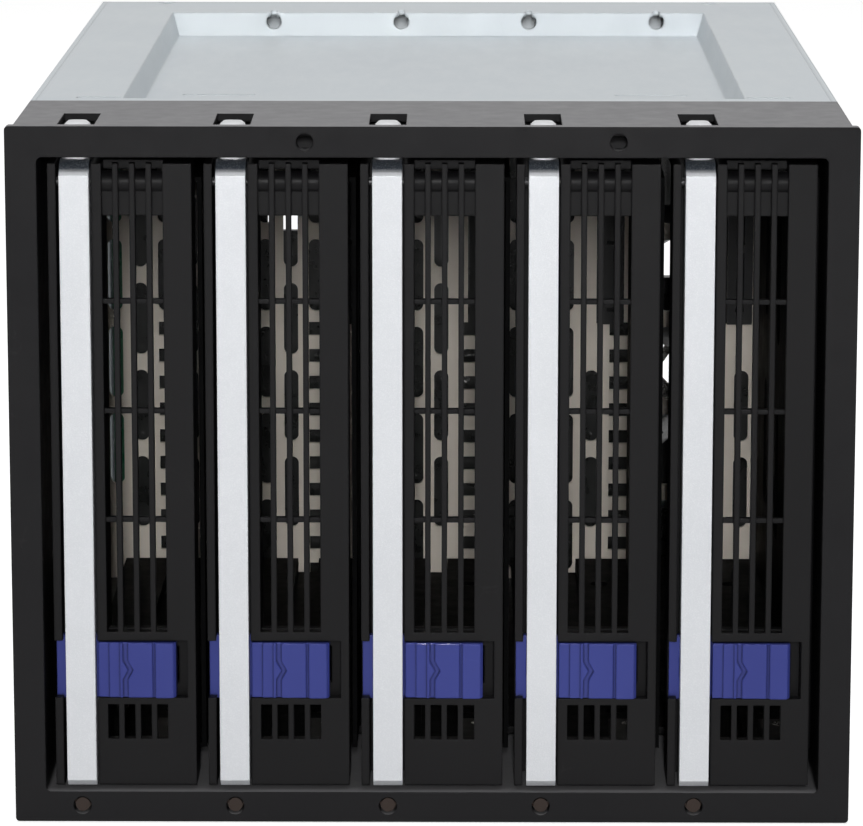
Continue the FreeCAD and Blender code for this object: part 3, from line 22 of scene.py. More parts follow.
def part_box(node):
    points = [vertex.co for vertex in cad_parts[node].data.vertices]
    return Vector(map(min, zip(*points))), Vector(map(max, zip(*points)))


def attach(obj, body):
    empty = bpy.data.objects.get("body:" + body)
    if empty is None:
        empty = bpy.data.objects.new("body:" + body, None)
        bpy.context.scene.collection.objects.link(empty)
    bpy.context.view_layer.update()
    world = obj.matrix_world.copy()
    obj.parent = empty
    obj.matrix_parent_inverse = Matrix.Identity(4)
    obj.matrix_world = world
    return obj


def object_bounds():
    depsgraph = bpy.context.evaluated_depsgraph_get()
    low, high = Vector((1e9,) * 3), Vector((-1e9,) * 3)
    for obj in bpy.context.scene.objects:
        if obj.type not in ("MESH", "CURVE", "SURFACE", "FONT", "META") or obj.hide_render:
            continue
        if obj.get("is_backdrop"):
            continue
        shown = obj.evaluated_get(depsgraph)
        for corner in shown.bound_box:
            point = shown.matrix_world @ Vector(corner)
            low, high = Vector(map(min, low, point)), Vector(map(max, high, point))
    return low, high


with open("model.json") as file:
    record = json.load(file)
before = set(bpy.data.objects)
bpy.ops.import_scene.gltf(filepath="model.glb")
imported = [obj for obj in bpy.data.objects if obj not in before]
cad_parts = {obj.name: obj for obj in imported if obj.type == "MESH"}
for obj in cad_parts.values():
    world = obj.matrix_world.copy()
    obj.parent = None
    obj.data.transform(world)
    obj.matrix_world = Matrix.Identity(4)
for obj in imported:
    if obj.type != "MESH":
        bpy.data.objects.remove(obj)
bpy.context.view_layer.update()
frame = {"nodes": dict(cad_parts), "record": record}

LOG = logging.getLogger("drive_cage")
MM = 0.001
TRAYS = 5

Colour = tuple[float, float, float]
Corner = tuple[float, float, float]
Span = tuple[float, float]
Value = bpy.types.NodeSocket | float
Tint = bpy.types.NodeSocket | tuple[float, float, float, float]


# ---------------------------------------------------------------- node helpers


class Tree:
    """A small wrapper that adds and links shader nodes."""

    def __init__(self, tree: bpy.types.NodeTree) -> None:
        """Wraps a node tree.

        Args:
            tree: The tree that new nodes go into.
        """
        self.tree = tree

    def add(self, kind: str, inputs: dict | None = None, **settings: object) -> bpy.types.Node:
        """Adds one node.

        Args:
            kind: The node's type name.
            inputs: Values, or sockets to link from, by input name or index.
            settings: Attributes of the node.

        Returns:
            The new node.
        """
        node = self.tree.nodes.new(kind)
        for name, value in settings.items():
            setattr(node, name, value)
        for name, value in (inputs or {}).items():
            if isinstance(value, bpy.types.NodeSocket):
                self.tree.links.new(value, node.inputs[name])
            else:
                node.inputs[name].default_value = value
        return node

    def ramp(self, value: bpy.types.NodeSocket, low: float, high: float,
             to_low: float = 0.0, to_high: float = 1.0) -> bpy.types.NodeSocket:
        """Maps a value from one range to another, clamped.

        Args:
            value: The socket to map.
            low: The input that gives to_low.
            high: The input that gives to_high.
            to_low: The first output.
            to_high: The last output.

        Returns:
            The mapped value's socket.
        """
        node = self.add("ShaderNodeMapRange", {"Value": value, "From Min": low, "From Max": high,
                                               "To Min": to_low, "To Max": to_high})
        return node.outputs["Result"]

    def mix(self, factor: Value, one: Tint, two: Tint) -> bpy.types.NodeSocket:
        """Mixes two colours.

        Args:
            factor: Share of the second colour.
            one: First colour, as a socket or four numbers.
            two: Second colour, as a socket or four numbers.

        Returns:
            The mixed colour's socket.
        """
        node = self.add("ShaderNodeMix", data_type="RGBA")
        for index, value in ((0, factor), (6, one), (7, two)):
            if isinstance(value, bpy.types.NodeSocket):
                self.tree.links.new(value, node.inputs[index])
            else:
                node.inputs[index].default_value = value
        return node.outputs[2]

    def math(self, operation: str, one: Value, two: Value = 0.0) -> bpy.types.NodeSocket:
        """Does one sum on two values.

        Args:
            operation: The Math node's operation.
            one: First value or socket.
            two: Second value or socket.

        Returns:
            The result's socket.
        """
        return self.add("ShaderNodeMath", {0: one, 1: two}, operation=operation).outputs[0]

    def place(self) -> bpy.types.NodeSocket:
        """Gives the socket of the object coordinates."""
        return self.add("ShaderNodeTexCoord").outputs["Object"]

    def link(self, one: bpy.types.NodeSocket, two: bpy.types.NodeSocket) -> None:
        """Links one socket to another.

        Args:
            one: The output.
            two: The input.
        """
        self.tree.links.new(one, two)


class Effect(Enum):
    """The effects that the finishes share."""

    GRAIN = "Grain"
    FLAKES = "Flakes"
    WEAR = "Wear"


def new_group(effect: Effect, inputs: dict[str, float], outputs: Sequence[str]) -> tuple[
        Tree, bpy.types.Node, bpy.types.Node]:
    """Makes a shader node group whose sockets all carry values.

    Args:
        effect: The effect that it holds.
        inputs: Inputs and their defaults.
        outputs: Names of the outputs.

    Returns:
        The group's wrapper, its input node and its output node.
    """
    group = bpy.data.node_groups.new(effect.value, "ShaderNodeTree")
    for label, default in inputs.items():
        socket = group.interface.new_socket(label, in_out="INPUT", socket_type="NodeSocketFloat")
        socket.default_value = default
    for label in outputs:
        group.interface.new_socket(label, in_out="OUTPUT", socket_type="NodeSocketFloat")
    tree = Tree(group)
    return tree, tree.add("NodeGroupInput"), tree.add("NodeGroupOutput")


def grain_group() -> bpy.types.NodeTree:
    """Fine moulded or rolled grain: a height, a spread of roughness and slow cloudiness.

    Returns:
        The node group.
    """
    blotch_scale, cloud_scale, middle = 260.0, 28.0, (0.3, 0.7)
    tree, given, made = new_group(Effect.GRAIN, {"Scale": 2500.0, "Stretch": 1.0},
                                  ("Height", "Spread", "Cloud"))
    place = tree.place()
    along = tree.add("ShaderNodeCombineXYZ", {0: 1.0, 1: given.outputs["Stretch"], 2: 1.0})
    drawn = tree.add("ShaderNodeVectorMath", {0: place, 1: along.outputs[0]},
                     operation="MULTIPLY").outputs[0]
    fine = tree.add("ShaderNodeTexNoise", {"Vector": drawn, "Scale": given.outputs["Scale"],
                                           "Detail": 3.0, "Roughness": 0.6})
    blotch = tree.add("ShaderNodeTexNoise", {"Vector": drawn, "Scale": blotch_scale,
                                             "Detail": 4.0, "Roughness": 0.62})
    cloud = tree.add("ShaderNodeTexNoise", {"Vector": place, "Scale": cloud_scale, "Detail": 3.0})
    tree.link(fine.outputs["Fac"], made.inputs["Height"])
    tree.link(tree.ramp(blotch.outputs["Fac"], *middle), made.inputs["Spread"])
    tree.link(tree.ramp(cloud.outputs["Fac"], *middle), made.inputs["Cloud"])
    return tree.tree


def flake_group() -> bpy.types.NodeTree:
    """Metal flakes in paint: small cells, each with its own brightness.

    Returns:
        The node group.
    """
    dull = 0.55
    tree, given, made = new_group(Effect.FLAKES, {"Scale": 4200.0}, ("Sparkle", "Height"))
    cells = tree.add("ShaderNodeTexVoronoi", {"Vector": tree.place(),
                                              "Scale": given.outputs["Scale"]})
    tone = tree.add("ShaderNodeSeparateColor", {0: cells.outputs["Color"]})
    tree.link(tree.ramp(tone.outputs[0], dull, 1.0), made.inputs["Sparkle"])
    tree.link(tone.outputs[1], made.inputs["Height"])
    return tree.tree


def wear_group() -> bpy.types.NodeTree:
    """Handling marks: thin broken streaks and small scuffed patches.

    Returns:
        The node group.
    """
    patch_scale, streak_scale, streak_width, scuffed = 90.0, 170.0, 0.03, (0.58, 0.74)
    tree, given, made = new_group(Effect.WEAR, {"Amount": 0.3}, ("Mask",))
    place = tree.place()
    bent = tree.add("ShaderNodeTexNoise", {"Vector": place, "Scale": patch_scale, "Detail": 6.0,
                                           "Roughness": 0.7})
    streak = tree.add("ShaderNodeTexVoronoi", {"Vector": place, "Scale": streak_scale},
                      feature="DISTANCE_TO_EDGE")
    thin = tree.ramp(streak.outputs["Distance"], 0.0, streak_width, 1.0, 0.0)
    patch = tree.ramp(bent.outputs["Fac"], *scuffed)
    both = tree.math("MULTIPLY", thin, patch)
    tree.link(tree.math("MULTIPLY", both, given.outputs["Amount"]), made.inputs["Mask"])
    return tree.tree


GROUPS: dict[Effect, bpy.types.NodeTree] = {}


def use_group(tree: Tree, effect: Effect, inputs: dict[str, float]) -> bpy.types.Node:
    """Places a shared node group in a material.

    Args:
        tree: The material's tree.
        effect: Which effect.
        inputs: The group's inputs.

    Returns:
        The group node.
    """
    makers = {Effect.GRAIN: grain_group, Effect.FLAKES: flake_group, Effect.WEAR: wear_group}
    if effect not in GROUPS:
        GROUPS[effect] = makers[effect]()
    node = tree.add("ShaderNodeGroup", node_tree=GROUPS[effect])
    for label, value in inputs.items():
        node.inputs[label].default_value = value
    return node


# -------------------------------------------------------------------- finishes


@dataclass(frozen=True)
class Finish:
    """One surface finish as numbers.

    Attributes:
        name: The material's name.
        colour: Base colour.
        second: Colour that the cloudiness drifts to.
        roughness: Middle roughness.
        spread: How far the grain moves the roughness.
        metallic: Metallic share.
        specular: Specular level.
        grain: Scale of the fine grain.
        stretch: Grain drawn out along Y when under 1.
        bump: Height of the grain in metres.
        worn: Colour that shows where it is worn.
        wear: Strength of the wear.
        coat: Clear coat weight.
        sparkle: Strength of metal flakes.
        flake: Scale of the flakes.
        zone: Colour of a part of the surface, if it has one.
        zone_axis: Axis across which that part starts, 0 to 2.
        zone_edge: Where it starts and where it is full, in metres.
        painted_sheen: Colour of the painted sheen that faces looking up show at glancing angles,
            if there is one.
        groove_shade_width: Width of the grooves that look darker, in metres.
        edge: Radius that sharp edges are shaded with, in metres.
    """

    name: str
    colour: Colour
    second: Colour
    roughness: float
    spread: float = 0.06
    metallic: float = 0.0
    specular: float = 0.5
    grain: float = 2500.0
    stretch: float = 1.0
    bump: float = 0.00002
    worn: Colour = (0.25, 0.25, 0.25)
    wear: float = 0.25
    coat: float = 0.0
    sparkle: float = 0.0
    flake: float = 4200.0
    # zone: Colour of a part of the surface, if it has one; on the lever's head it is painted
    # shade.
    zone: Colour | None = None
    zone_axis: int = 2
    zone_edge: Span = (0.0, 1.0)
    painted_sheen: Colour | None = None
    # hollow: Width of the grooves that get painted shade, in metres.
    groove_shade_width: float = 0.0
    edge: float = 0.0

    def zoned(self, tree: Tree, base: bpy.types.NodeSocket) -> bpy.types.NodeSocket:
        """Colours the part of the surface that lies past the zone's edge.

        Args:
            tree: The material's tree.
            base: The colour so far.

        Returns:
            The new colour's socket.
        """
        axis = tree.add("ShaderNodeSeparateXYZ", {0: tree.place()}).outputs[self.zone_axis]
        return tree.mix(tree.ramp(axis, *self.zone_edge), base, (*self.zone, 1.0))

    def paint_sheen(self, tree: Tree, base: bpy.types.NodeSocket) -> bpy.types.NodeSocket:
        """Paints a sheen: lightens faces that look up where they are seen at a glancing angle, as
        painted light from above.

        Args:
            tree: The material's tree.
            base: The colour so far.

        Returns:
            The new colour's socket.
        """
        slanting, level = (0.45, 0.80), (0.55, 0.95)
        facing = tree.add("ShaderNodeLayerWeight", {"Blend": 0.5}).outputs["Facing"]
        normal = tree.add("ShaderNodeNewGeometry").outputs["Normal"]
        upward = tree.add("ShaderNodeSeparateXYZ", {0: normal}).outputs[2]
        share = tree.math("MULTIPLY", tree.ramp(facing, *slanting), tree.ramp(upward, *level))
        return tree.mix(share, base, (*self.painted_sheen, 1.0))

    def paint_groove_shade(self, tree: Tree, base: bpy.types.NodeSocket) -> bpy.types.NodeSocket:
        """Paints shade into narrow grooves where ambient occlusion finds them closed in.

        Args:
            tree: The material's tree.
            base: The colour so far.

        Returns:
            The new colour's socket.
        """
        shut, open_face, strength, shade = 0.45, 0.92, 0.85, (0.004, 0.005, 0.018, 1.0)
        near = tree.add("ShaderNodeAmbientOcclusion", {"Distance": self.groove_shade_width}, samples=6)
        share = tree.ramp(near.outputs["AO"], shut, open_face, strength, 0.0)
        return tree.mix(share, base, shade)

    def build(self) -> bpy.types.Material:
        """Builds the material.

        Returns:
            The node material.
        """
        material = bpy.data.materials.new(self.name)
        material.use_nodes = True
        tree = Tree(material.node_tree)
        shader = material.node_tree.nodes["Principled BSDF"]
        shader.inputs["Metallic"].default_value = self.metallic
        shader.inputs["Specular IOR Level"].default_value = self.specular
        shader.inputs["Coat Weight"].default_value = self.coat
        grain = use_group(tree, Effect.GRAIN, {"Scale": self.grain, "Stretch": self.stretch})
        wear = use_group(tree, Effect.WEAR, {"Amount": self.wear})
        base = tree.mix(grain.outputs["Cloud"], (*self.colour, 1.0), (*self.second, 1.0))
        base = tree.mix(wear.outputs["Mask"], base, (*self.worn, 1.0))
        if self.zone:
            base = self.zoned(tree, base)
        if self.painted_sheen:
            base = self.paint_sheen(tree, base)
        if self.groove_shade_width:
            base = self.paint_groove_shade(tree, base)
        height = grain.outputs["Height"]
        if self.sparkle:
            flakes = use_group(tree, Effect.FLAKES, {"Scale": self.flake})
            shine = tree.math("MULTIPLY", flakes.outputs["Sparkle"], self.sparkle)
            base = tree.mix(shine, base, (1.0, 1.0, 1.0, 1.0))
            height = tree.math("ADD", height, flakes.outputs["Height"])
        rough = tree.ramp(grain.outputs["Spread"], 0.0, 1.0, self.roughness - self.spread,
                          self.roughness + self.spread)
        bump = tree.add("ShaderNodeBump", {"Height": height, "Distance": self.bump,
                                           "Strength": 1.0})
        if self.edge:
            round_edge = tree.add("ShaderNodeBevel", {"Radius": self.edge}, samples=4)
            tree.link(round_edge.outputs["Normal"], bump.inputs["Normal"])
        tree.link(base, shader.inputs["Base Color"])
        tree.link(rough, shader.inputs["Roughness"])
        tree.link(bump.outputs["Normal"], shader.inputs["Normal"])
        return material


FINISHES: dict[str, Finish] = {
    # The black plastic lightens to a painted sheen on upward faces seen at a glancing angle.
    "black_plastic": Finish("black_plastic", (0.0078, 0.0076, 0.0086), (0.0098, 0.0095, 0.0103),
                            0.48, 0.07, specular=0.11, edge=0.0004, grain=2600.0, bump=0.000006,
                            worn=(0.06, 0.06, 0.06), wear=0.25, painted_sheen=(0.21, 0.208, 0.215)),
    "tray_black": Finish("tray_black", (0.0056, 0.0054, 0.0060), (0.0072, 0.0069, 0.0075),
                         0.42, 0.06, specular=0.11, edge=0.0004, grain=3200.0, bump=0.000006,
                         worn=(0.05, 0.05, 0.05), wear=0.2),
    "smoked_lens": Finish("smoked_lens", (0.030, 0.020, 0.016), (0.040, 0.026, 0.020),
                          0.24, 0.04, specular=0.15, grain=1200.0, bump=0.000004, wear=0.0,
                          coat=0.08),
    "satin_steel": Finish("satin_steel", (0.60, 0.64, 0.665), (0.57, 0.61, 0.64), 0.46, 0.06,
                          metallic=0.35, grain=1500.0, stretch=0.25, bump=0.000012,
                          worn=(0.36, 0.38, 0.40), wear=0.14, edge=0.0006),
    "galvanised": Finish("galvanised", (0.92, 0.84, 0.73), (0.80, 0.73, 0.64), 0.40, 0.12,
                         metallic=0.0, grain=700.0, bump=0.00002, worn=(0.75, 0.74, 0.72),
                         wear=0.35),
    "black_pan": Finish("black_pan", (0.0018, 0.0018, 0.0020), (0.0026, 0.0026, 0.0028), 0.60,
                        0.08, specular=0.03, grain=1400.0, bump=0.00001, worn=(0.05, 0.05, 0.05),
                        wear=0.2),
    "green_board": Finish("green_board", (0.010, 0.110, 0.050), (0.014, 0.130, 0.062), 0.30,
                          0.08, grain=1800.0, bump=0.00001, worn=(0.10, 0.28, 0.15), wear=0.3,
                          coat=0.2, zone=(0.0016, 0.0026, 0.0020), zone_axis=0,
                          zone_edge=(-0.0668, -0.0664)),
    "bright_screw": Finish("bright_screw", (0.62, 0.61, 0.59), (0.50, 0.49, 0.48), 0.26, 0.08,
                           metallic=0.9, grain=2200.0, bump=0.00001, wear=0.3),
    "black_screw": Finish("black_screw", (0.020, 0.020, 0.022), (0.034, 0.034, 0.036), 0.34,
                          0.08, metallic=0.4, grain=2200.0, bump=0.00001, wear=0.3),
    "socket_black": Finish("socket_black", (0.014, 0.014, 0.015), (0.020, 0.020, 0.021), 0.40,
                           0.08, specular=0.3, bump=0.00001),
    "inlet_white": Finish("inlet_white", (0.66, 0.63, 0.55), (0.60, 0.57, 0.50), 0.42, 0.05,
                          bump=0.00001, wear=0.1),
    "fan_black": Finish("fan_black", (0.016, 0.016, 0.017), (0.022, 0.022, 0.023), 0.38, 0.08,
                        specular=0.35, grain=1600.0, bump=0.00002),
    # The lever's head above the zone's edge turns dark blue-grey: painted shade of the frame's
    # lip.
    "silver_lever": Finish("silver_lever", (0.56, 0.575, 0.60), (0.60, 0.615, 0.64), 0.40, 0.06,
                           metallic=0.25, grain=2800.0, bump=0.000010, worn=(0.45, 0.46, 0.47),
                           wear=0.06, sparkle=0.12, flake=7000.0,
                           zone=(0.040, 0.050, 0.065), zone_edge=(0.1163, 0.1170)),
    # A lighter copy of the lever's silver for the tip: a painted highlight where its top catches
    # the light.
    "silver_tip_painted_highlight": Finish("silver_tip_painted_highlight", (0.74, 0.75, 0.77), (0.80, 0.81, 0.83), 0.40, 0.06,
                         metallic=0.25, grain=2800.0, bump=0.000010, worn=(0.45, 0.46, 0.47),
                         wear=0.06, sparkle=0.12, flake=7000.0),
    # The blue latch gets painted shade in its grooves.
    "blue_latch": Finish("blue_latch", (0.034, 0.044, 0.215), (0.040, 0.052, 0.240), 0.36, 0.05,
                         specular=0.15, grain=2600.0, bump=0.000012, worn=(0.10, 0.13, 0.36),
                         wear=0.15, coat=0.05, groove_shade_width=0.0005, edge=0.0004),
}


# ------------------------------------------------------------------ the camera


@dataclass(frozen=True)
class Camera:
    """The camera's place and lens.

    Attributes:
        eye: Where it stands, in metres.
        pitch: Degrees that it looks down.
        yaw: Degrees that it turns right.
        roll: Degrees that it leans.
        lens: Focal length in millimetres.
        sensor: Width of the sensor in millimetres.
    """

    eye: Corner = (0.005070, -0.885178, 0.228380)
    pitch: float = 11.1915
    yaw: float = -0.3798
    roll: float = 0.0305
    lens: float = 189.746
    sensor: float = 36.0

    def build(self) -> bpy.types.Object:
        """Makes the camera and hands it to the scene.

        Returns:
            The camera object.
        """
        pitch, yaw, roll = (math.radians(v) for v in (self.pitch, self.yaw, self.roll))
        ahead = Vector((math.sin(yaw) * math.cos(pitch), math.cos(yaw) * math.cos(pitch),
                        -math.sin(pitch)))
        right = ahead.cross(Vector((0.0, 0.0, 1.0))).normalized()
        over = right.cross(ahead)
        turned = math.cos(roll) * right + math.sin(roll) * over
        over = turned.cross(ahead)
        matrix = Matrix((turned, over, -ahead)).transposed().to_4x4()
        matrix.translation = Vector(self.eye)
        data = bpy.data.cameras.new("camera")
        data.lens = self.lens
        data.sensor_width = self.sensor
        data.clip_start = 0.01
        data.clip_end = 50.0
        camera = bpy.data.objects.new("camera", data)
        bpy.context.scene.collection.objects.link(camera)
        camera.matrix_world = matrix
        bpy.context.scene.camera = camera
        return camera


# ---------------------------------------------------------- lamps, world, floor


@dataclass(frozen=True)
class Lamp:
    """One soft area lamp.

    Attributes:
        name: Its name.
        place: Where it hangs, in metres.
        aim: The point that it faces.
        size: Width and height of its panel.
        power: Watts.
        tint: Its colour.
    """

    name: str
    place: Corner
    aim: Corner
    size: Span
    power: float
    tint: Colour = (1.0, 1.0, 1.0)

    def build(self) -> bpy.types.Object:
        """Hangs the lamp.

        Returns:
            The lamp object.
        """
        data = bpy.data.lights.new(self.name, "AREA")
        data.shape = "RECTANGLE"
        data.size, data.size_y = self.size
        data.energy = self.power
        data.color = self.tint
        lamp = bpy.data.objects.new(self.name, data)
        bpy.context.scene.collection.objects.link(lamp)
        lamp.location = self.place
        toward = Vector(self.aim) - Vector(self.place)
        lamp.rotation_euler = toward.to_track_quat("-Z", "Y").to_euler()
        return lamp


@dataclass
class Studio:
    """The floor, the world and the lamps.

    Attributes:
        lamps: The lamps that light the cage.
        world_light: Strength of the world on the object.
        front_shine: How bright the side in front of the cage looks in reflections.
        floor_half: Half the floor's width, in metres.
        floor_drop: How far the floor lies under the cage, in metres.
        floor_glow: Light that the floor adds where it is seen, so that it fades into white.
    """

    lamps: Sequence[Lamp] = (
        Lamp("flash", (0.012, -1.30, 0.37), (0.0, -0.05, 0.06), (0.05, 0.22), 8.4),
        Lamp("over", (0.0, 0.05, 1.55), (0.0, 0.0, 0.08), (1.6, 1.4), 13.0),
        Lamp("left", (-1.30, -0.75, 0.75), (0.0, 0.0, 0.06), (0.9, 1.0), 1.0),
        Lamp("right", (1.30, -0.75, 0.75), (0.0, 0.0, 0.06), (0.9, 1.0), 1.0),
    )
    world_light: float = 0.20
    front_shine: float = 0.30
    floor_half: float = 3.0
    floor_drop: float = 0.0002
    floor_glow: float = 0.68

    def floor(self) -> bpy.types.Object:
        """Lays a plain pale floor that keeps the shadow and fades into the white background.

        Returns:
            The floor object.
        """
        half = self.floor_half
        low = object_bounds()[0][2] - self.floor_drop
        mottle_scale, pale, paler = 9.0, (0.80, 0.80, 0.80, 1.0), (0.82, 0.82, 0.82, 1.0)
        mesh = bpy.data.meshes.new("floor")
        mesh.from_pydata([(-half, -half, low), (half, -half, low), (half, half, low),
                          (-half, half, low)], [], [(0, 1, 2, 3)])
        floor = bpy.data.objects.new("floor", mesh)
        bpy.context.scene.collection.objects.link(floor)
        material = bpy.data.materials.new("floor")
        material.use_nodes = True
        nodes = material.node_tree.nodes
        nodes.clear()
        tree = Tree(material.node_tree)
        mottle = tree.add("ShaderNodeTexNoise", {"Vector": tree.place(), "Scale": mottle_scale,
                                                 "Detail": 2.0})
        colour = tree.mix(mottle.outputs["Fac"], pale, paler)
        matte = tree.add("ShaderNodeBsdfDiffuse", {"Color": colour})
        seen = tree.math("MULTIPLY", self.direct(tree), self.floor_glow)
        glow = tree.add("ShaderNodeEmission", {"Strength": seen})
        both = tree.add("ShaderNodeAddShader", {0: matte.outputs[0], 1: glow.outputs[0]})
        out = tree.add("ShaderNodeOutputMaterial")
        tree.link(both.outputs[0], out.inputs["Surface"])
        mesh.materials.append(material)
        floor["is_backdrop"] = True
        return floor

    @staticmethod
    def direct(tree: Tree) -> bpy.types.NodeSocket:
        """Says where a ray comes from the camera, a mirror or a clear surface.

        Args:
            tree: The tree that the nodes go into.

        Returns:
            A socket that is 1 for those rays and 0 for the light on the object.
        """
        path = tree.add("ShaderNodeLightPath")
        seen = tree.math("MAXIMUM", path.outputs["Is Camera Ray"], path.outputs["Is Glossy Ray"])
        return tree.math("MAXIMUM", seen, path.outputs["Is Transmission Ray"])

    def world(self) -> bpy.types.World:
        """Makes a white background whose light on the object stays plain.

        The colour that mirrors show falls from white behind the cage to grey in front of it.

        Returns:
            The world.
        """
        ahead, behind = -0.75, 0.15
        world = bpy.data.worlds.new("studio")
        world.use_nodes = True
        nodes = world.node_tree.nodes
        nodes.clear()
        tree = Tree(world.node_tree)
        way = tree.add("ShaderNodeSeparateXYZ",
                       {0: tree.add("ShaderNodeTexCoord").outputs["Generated"]})
        path = tree.add("ShaderNodeLightPath")
        shine = tree.ramp(way.outputs[1], ahead, behind, self.front_shine, 1.0)
        glossy = path.outputs["Is Glossy Ray"]
        level = tree.math("MULTIPLY", glossy, shine)
        plain = tree.math("SUBTRACT", 1.0, glossy)
        clear = tree.math("MAXIMUM", path.outputs["Is Camera Ray"],
                          path.outputs["Is Transmission Ray"])
        lit = tree.math("MULTIPLY", plain, tree.ramp(clear, 0.0, 1.0, self.world_light, 1.0))
        strength = tree.math("ADD", level, lit)
        back = tree.add("ShaderNodeBackground", {"Strength": strength})
        out = tree.add("ShaderNodeOutputWorld")
        tree.link(back.outputs[0], out.inputs["Surface"])
        bpy.context.scene.world = world
        return world

    def build(self) -> None:
        """Sets up the floor, the world, the lamps and the plain colour view."""
        self.floor()
        self.world()
        for lamp in self.lamps:
            lamp.build()
        bpy.context.scene.view_settings.view_transform = "Standard"


# ------------------------------------------------------------------ new pieces


def make_piece(name: str, points: np.ndarray, faces: Sequence[Sequence[int]],
               material: bpy.types.Material, body: str) -> bpy.types.Object:
    """Makes one new piece from points and faces.

    Args:
        name: The object's name.
        points: Corners in metres, one row each.
        faces: Corner numbers of each face, turning outward.
        material: Its finish.
        body: The body that it rides on.

    Returns:
        The new object.
    """
    mesh = bpy.data.meshes.new(name)
    mesh.from_pydata([tuple(p) for p in points], [], [tuple(f) for f in faces])
    mesh.update()
    mesh.shade_smooth()
    mesh.materials.append(material)
    piece = bpy.data.objects.new(name, mesh)
    bpy.context.scene.collection.objects.link(piece)
    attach(piece, body)
    return piece


def loft(rings: np.ndarray) -> tuple[np.ndarray, list[list[int]]]:
    """Skins a stack of closed rings and closes both ends.

    Args:
        rings: Array of rings by points by three.

    Returns:
        Points and faces.
    """
    count, size = rings.shape[:2]
    faces = [[k * size + i, k * size + (i + 1) % size, (k + 1) * size + (i + 1) % size,
              (k + 1) * size + i] for k in range(count - 1) for i in range(size)]
    faces.append(list(range(size))[::-1])
    faces.append([(count - 1) * size + i for i in range(size)])
    return rings.reshape(-1, 3), faces


@dataclass
class Tray:
    """What a tray's solids leave to the visual model. Lengths are in millimetres.

    Attributes:
        number: Which tray, from the left.
        made: The built materials by slot.
        tip_half_width: Half the locking tip across.
        tip_half_depth: Half the locking tip from front to back.
        tip_middle: Front of the lever to the middle of the tip's foot.
        tip_lean: How far the tip leans back over its height.
        tip_root: How far the tip starts inside the lever's head.
        tip_cover: Top of the tip under the frame's top face.
        tip_crown: How far the crown draws in.
        tip_squareness: Power of the rounded rectangle; 2 is an ellipse.
        rings: Rings from foot to crown.
        corners: Points around a ring.
    """

    number: int
    made: dict[str, bpy.types.Material]
    tip_half_width: float = 2.5
    tip_half_depth: float = 4.3
    tip_middle: float = 8.0
    tip_lean: float = 0.2
    tip_root: float = 0.6
    tip_cover: float = 0.35
    tip_crown: float = 0.8
    tip_squareness: float = 4.5
    rings: int = 14
    corners: int = 40

    def tip(self) -> bpy.types.Object:
        """The lever's locking tip, which stands up behind the frame's lip.

        A stack of rounded rectangles. Each follows a cosine and a sine, both raised to two
        over the squareness. They draw in by one minus the root of one minus height to the
        eighth, so the top has a rounded rim, and their middle leans back with height.

        Returns:
            The tip.
        """
        rim_power = 8
        low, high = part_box(f"lever_{self.number}")
        middle = (low[0] + high[0]) / 2
        base = high[2] - self.tip_root * MM
        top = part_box("front_frame")[1][2] - self.tip_cover * MM
        power = 2.0 / self.tip_squareness
        angle = np.linspace(0.0, 2.0 * math.pi, self.corners, endpoint=False)
        cosine, sine = np.cos(angle), np.sin(angle)
        around = np.sign(cosine) * np.abs(cosine) ** power
        along = np.sign(sine) * np.abs(sine) ** power
        rings = []
        for step in np.linspace(0.0, 1.0, self.rings):
            shrink = self.tip_crown * (1.0 - math.sqrt(max(0.0, 1.0 - step ** rim_power)))
            centre = low[1] + (self.tip_middle + self.tip_lean * step) * MM
            across = middle + (self.tip_half_width - shrink) * MM * around
            back = centre + (self.tip_half_depth - shrink) * MM * along
            up = np.full_like(across, base + (top - base) * step)
            rings.append(np.stack([across, back, up], axis=1))
        points, faces = loft(np.array(rings))
        # The tip takes the lighter silver, a painted highlight.
        return make_piece(f"lever_tip_{self.number}", points, faces, self.made["silver_tip_painted_highlight"],
                          f"lever_{self.number}")

    def build(self) -> list[bpy.types.Object]:
        """Builds and lists the tray's new pieces."""
        return [self.tip()]


# ------------------------------------------------------------- the CAD's dress


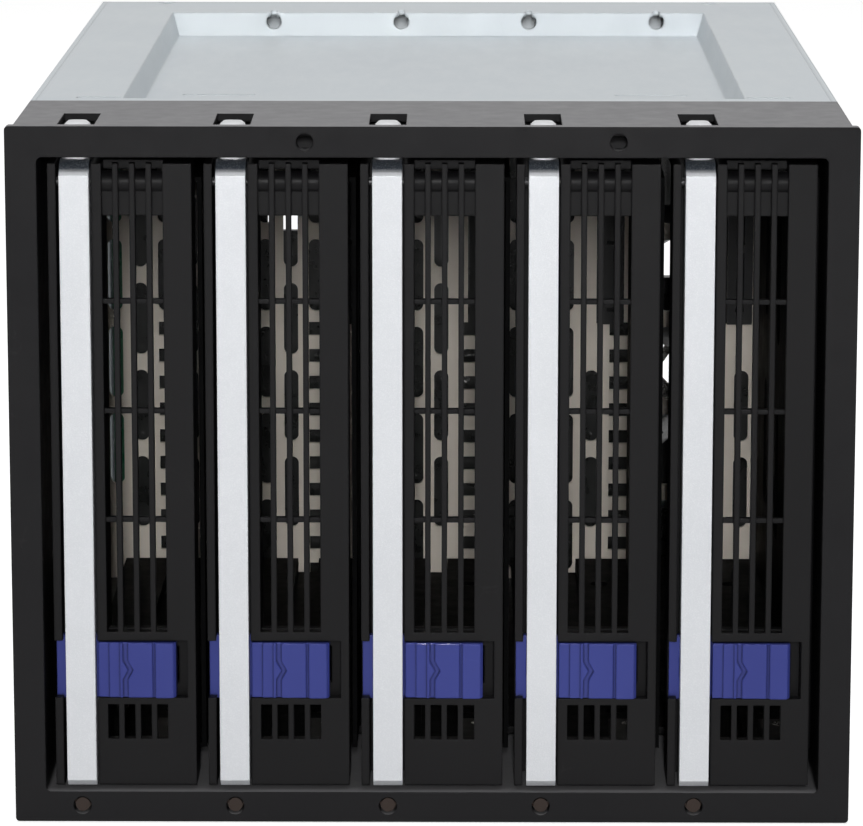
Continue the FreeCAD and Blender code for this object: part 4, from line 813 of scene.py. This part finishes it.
@dataclass
class Dress:
    """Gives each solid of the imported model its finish, and some of them rounder edges.

    Attributes:
        slots: Material slot of each node, from the record.
        stand_in: Finish of some nodes in place of their slot's, by the start of their names.
        edges: Edge radius in millimetres by the start of a node's name.
        sharp: Degrees between faces from which an edge is rounded.
        weld: Distance in millimetres within which points are joined first.
    """

    slots: dict[str, str] = field(default_factory=dict)
    stand_in: dict[str, str] = field(default_factory=lambda: {
        "lever_pin": "black_screw", "guide_": "tray_black"})
    edges: dict[str, float] = field(default_factory=lambda: {
        "lever_pin": 0.0, "lever_": 0.8, "latch_": 0.2})
    sharp: float = 40.0
    weld: float = 0.002

    def read(self) -> None:
        """Reads which slot each node belongs to."""
        for entry in frame["record"]["subparts"]:
            self.slots[entry["node"]] = entry["material_slot"]

    def soften(self, thing: bpy.types.Object, radius: float) -> None:
        """Rounds a solid's edges with modifiers.

        Args:
            thing: The solid.
            radius: Edge radius in millimetres.
        """
        weld = thing.modifiers.new("weld", "WELD")
        weld.merge_threshold = self.weld * MM
        bevel = thing.modifiers.new("bevel", "BEVEL")
        bevel.width = radius * MM
        bevel.segments = 3
        bevel.limit_method = "ANGLE"
        bevel.angle_limit = math.radians(self.sharp)
        bevel.use_clamp_overlap = True
        bevel.miter_outer = "MITER_ARC"
        normal = thing.modifiers.new("normal", "WEIGHTED_NORMAL")
        normal.keep_sharp = True
        normal.weight = 80

    @staticmethod
    def pick(name: str, table: dict[str, str | float], otherwise: str | float) -> str | float:
        """Looks a node up by the start of its name.

        Args:
            name: The node's name.
            table: Values by the start of a name; the first that fits counts.
            otherwise: The value where none fits.

        Returns:
            The value.
        """
        return next((value for start, value in table.items() if name.startswith(start)),
                    otherwise)

    def build(self, made: dict[str, bpy.types.Material]) -> None:
        """Puts the finishes on the solids.

        Args:
            made: The built materials by slot.
        """
        self.read()
        for name, thing in frame["nodes"].items():
            material = made[self.pick(name, self.stand_in, self.slots[name])]
            thing.data.materials.clear()
            thing.data.materials.append(material)
            radius = self.pick(name, self.edges, 0.0)
            if radius:
                self.soften(thing, radius)
            LOG.info("%s in %s, edges %.1f mm", name, material.name, radius)


def main() -> None:
    """Builds the finishes, the pieces and the studio, and reports what was made."""
    logging.basicConfig(level=logging.INFO, format="%(message)s")
    made = {slot: finish.build() for slot, finish in FINISHES.items()}
    Dress().build(made)
    for number in range(1, TRAYS + 1):
        for piece in Tray(number, made).build():
            LOG.info("%s added with %d faces", piece.name, len(piece.data.polygons))
    Camera().build()
    Studio().build()


if __name__ == "__main__":
    main()
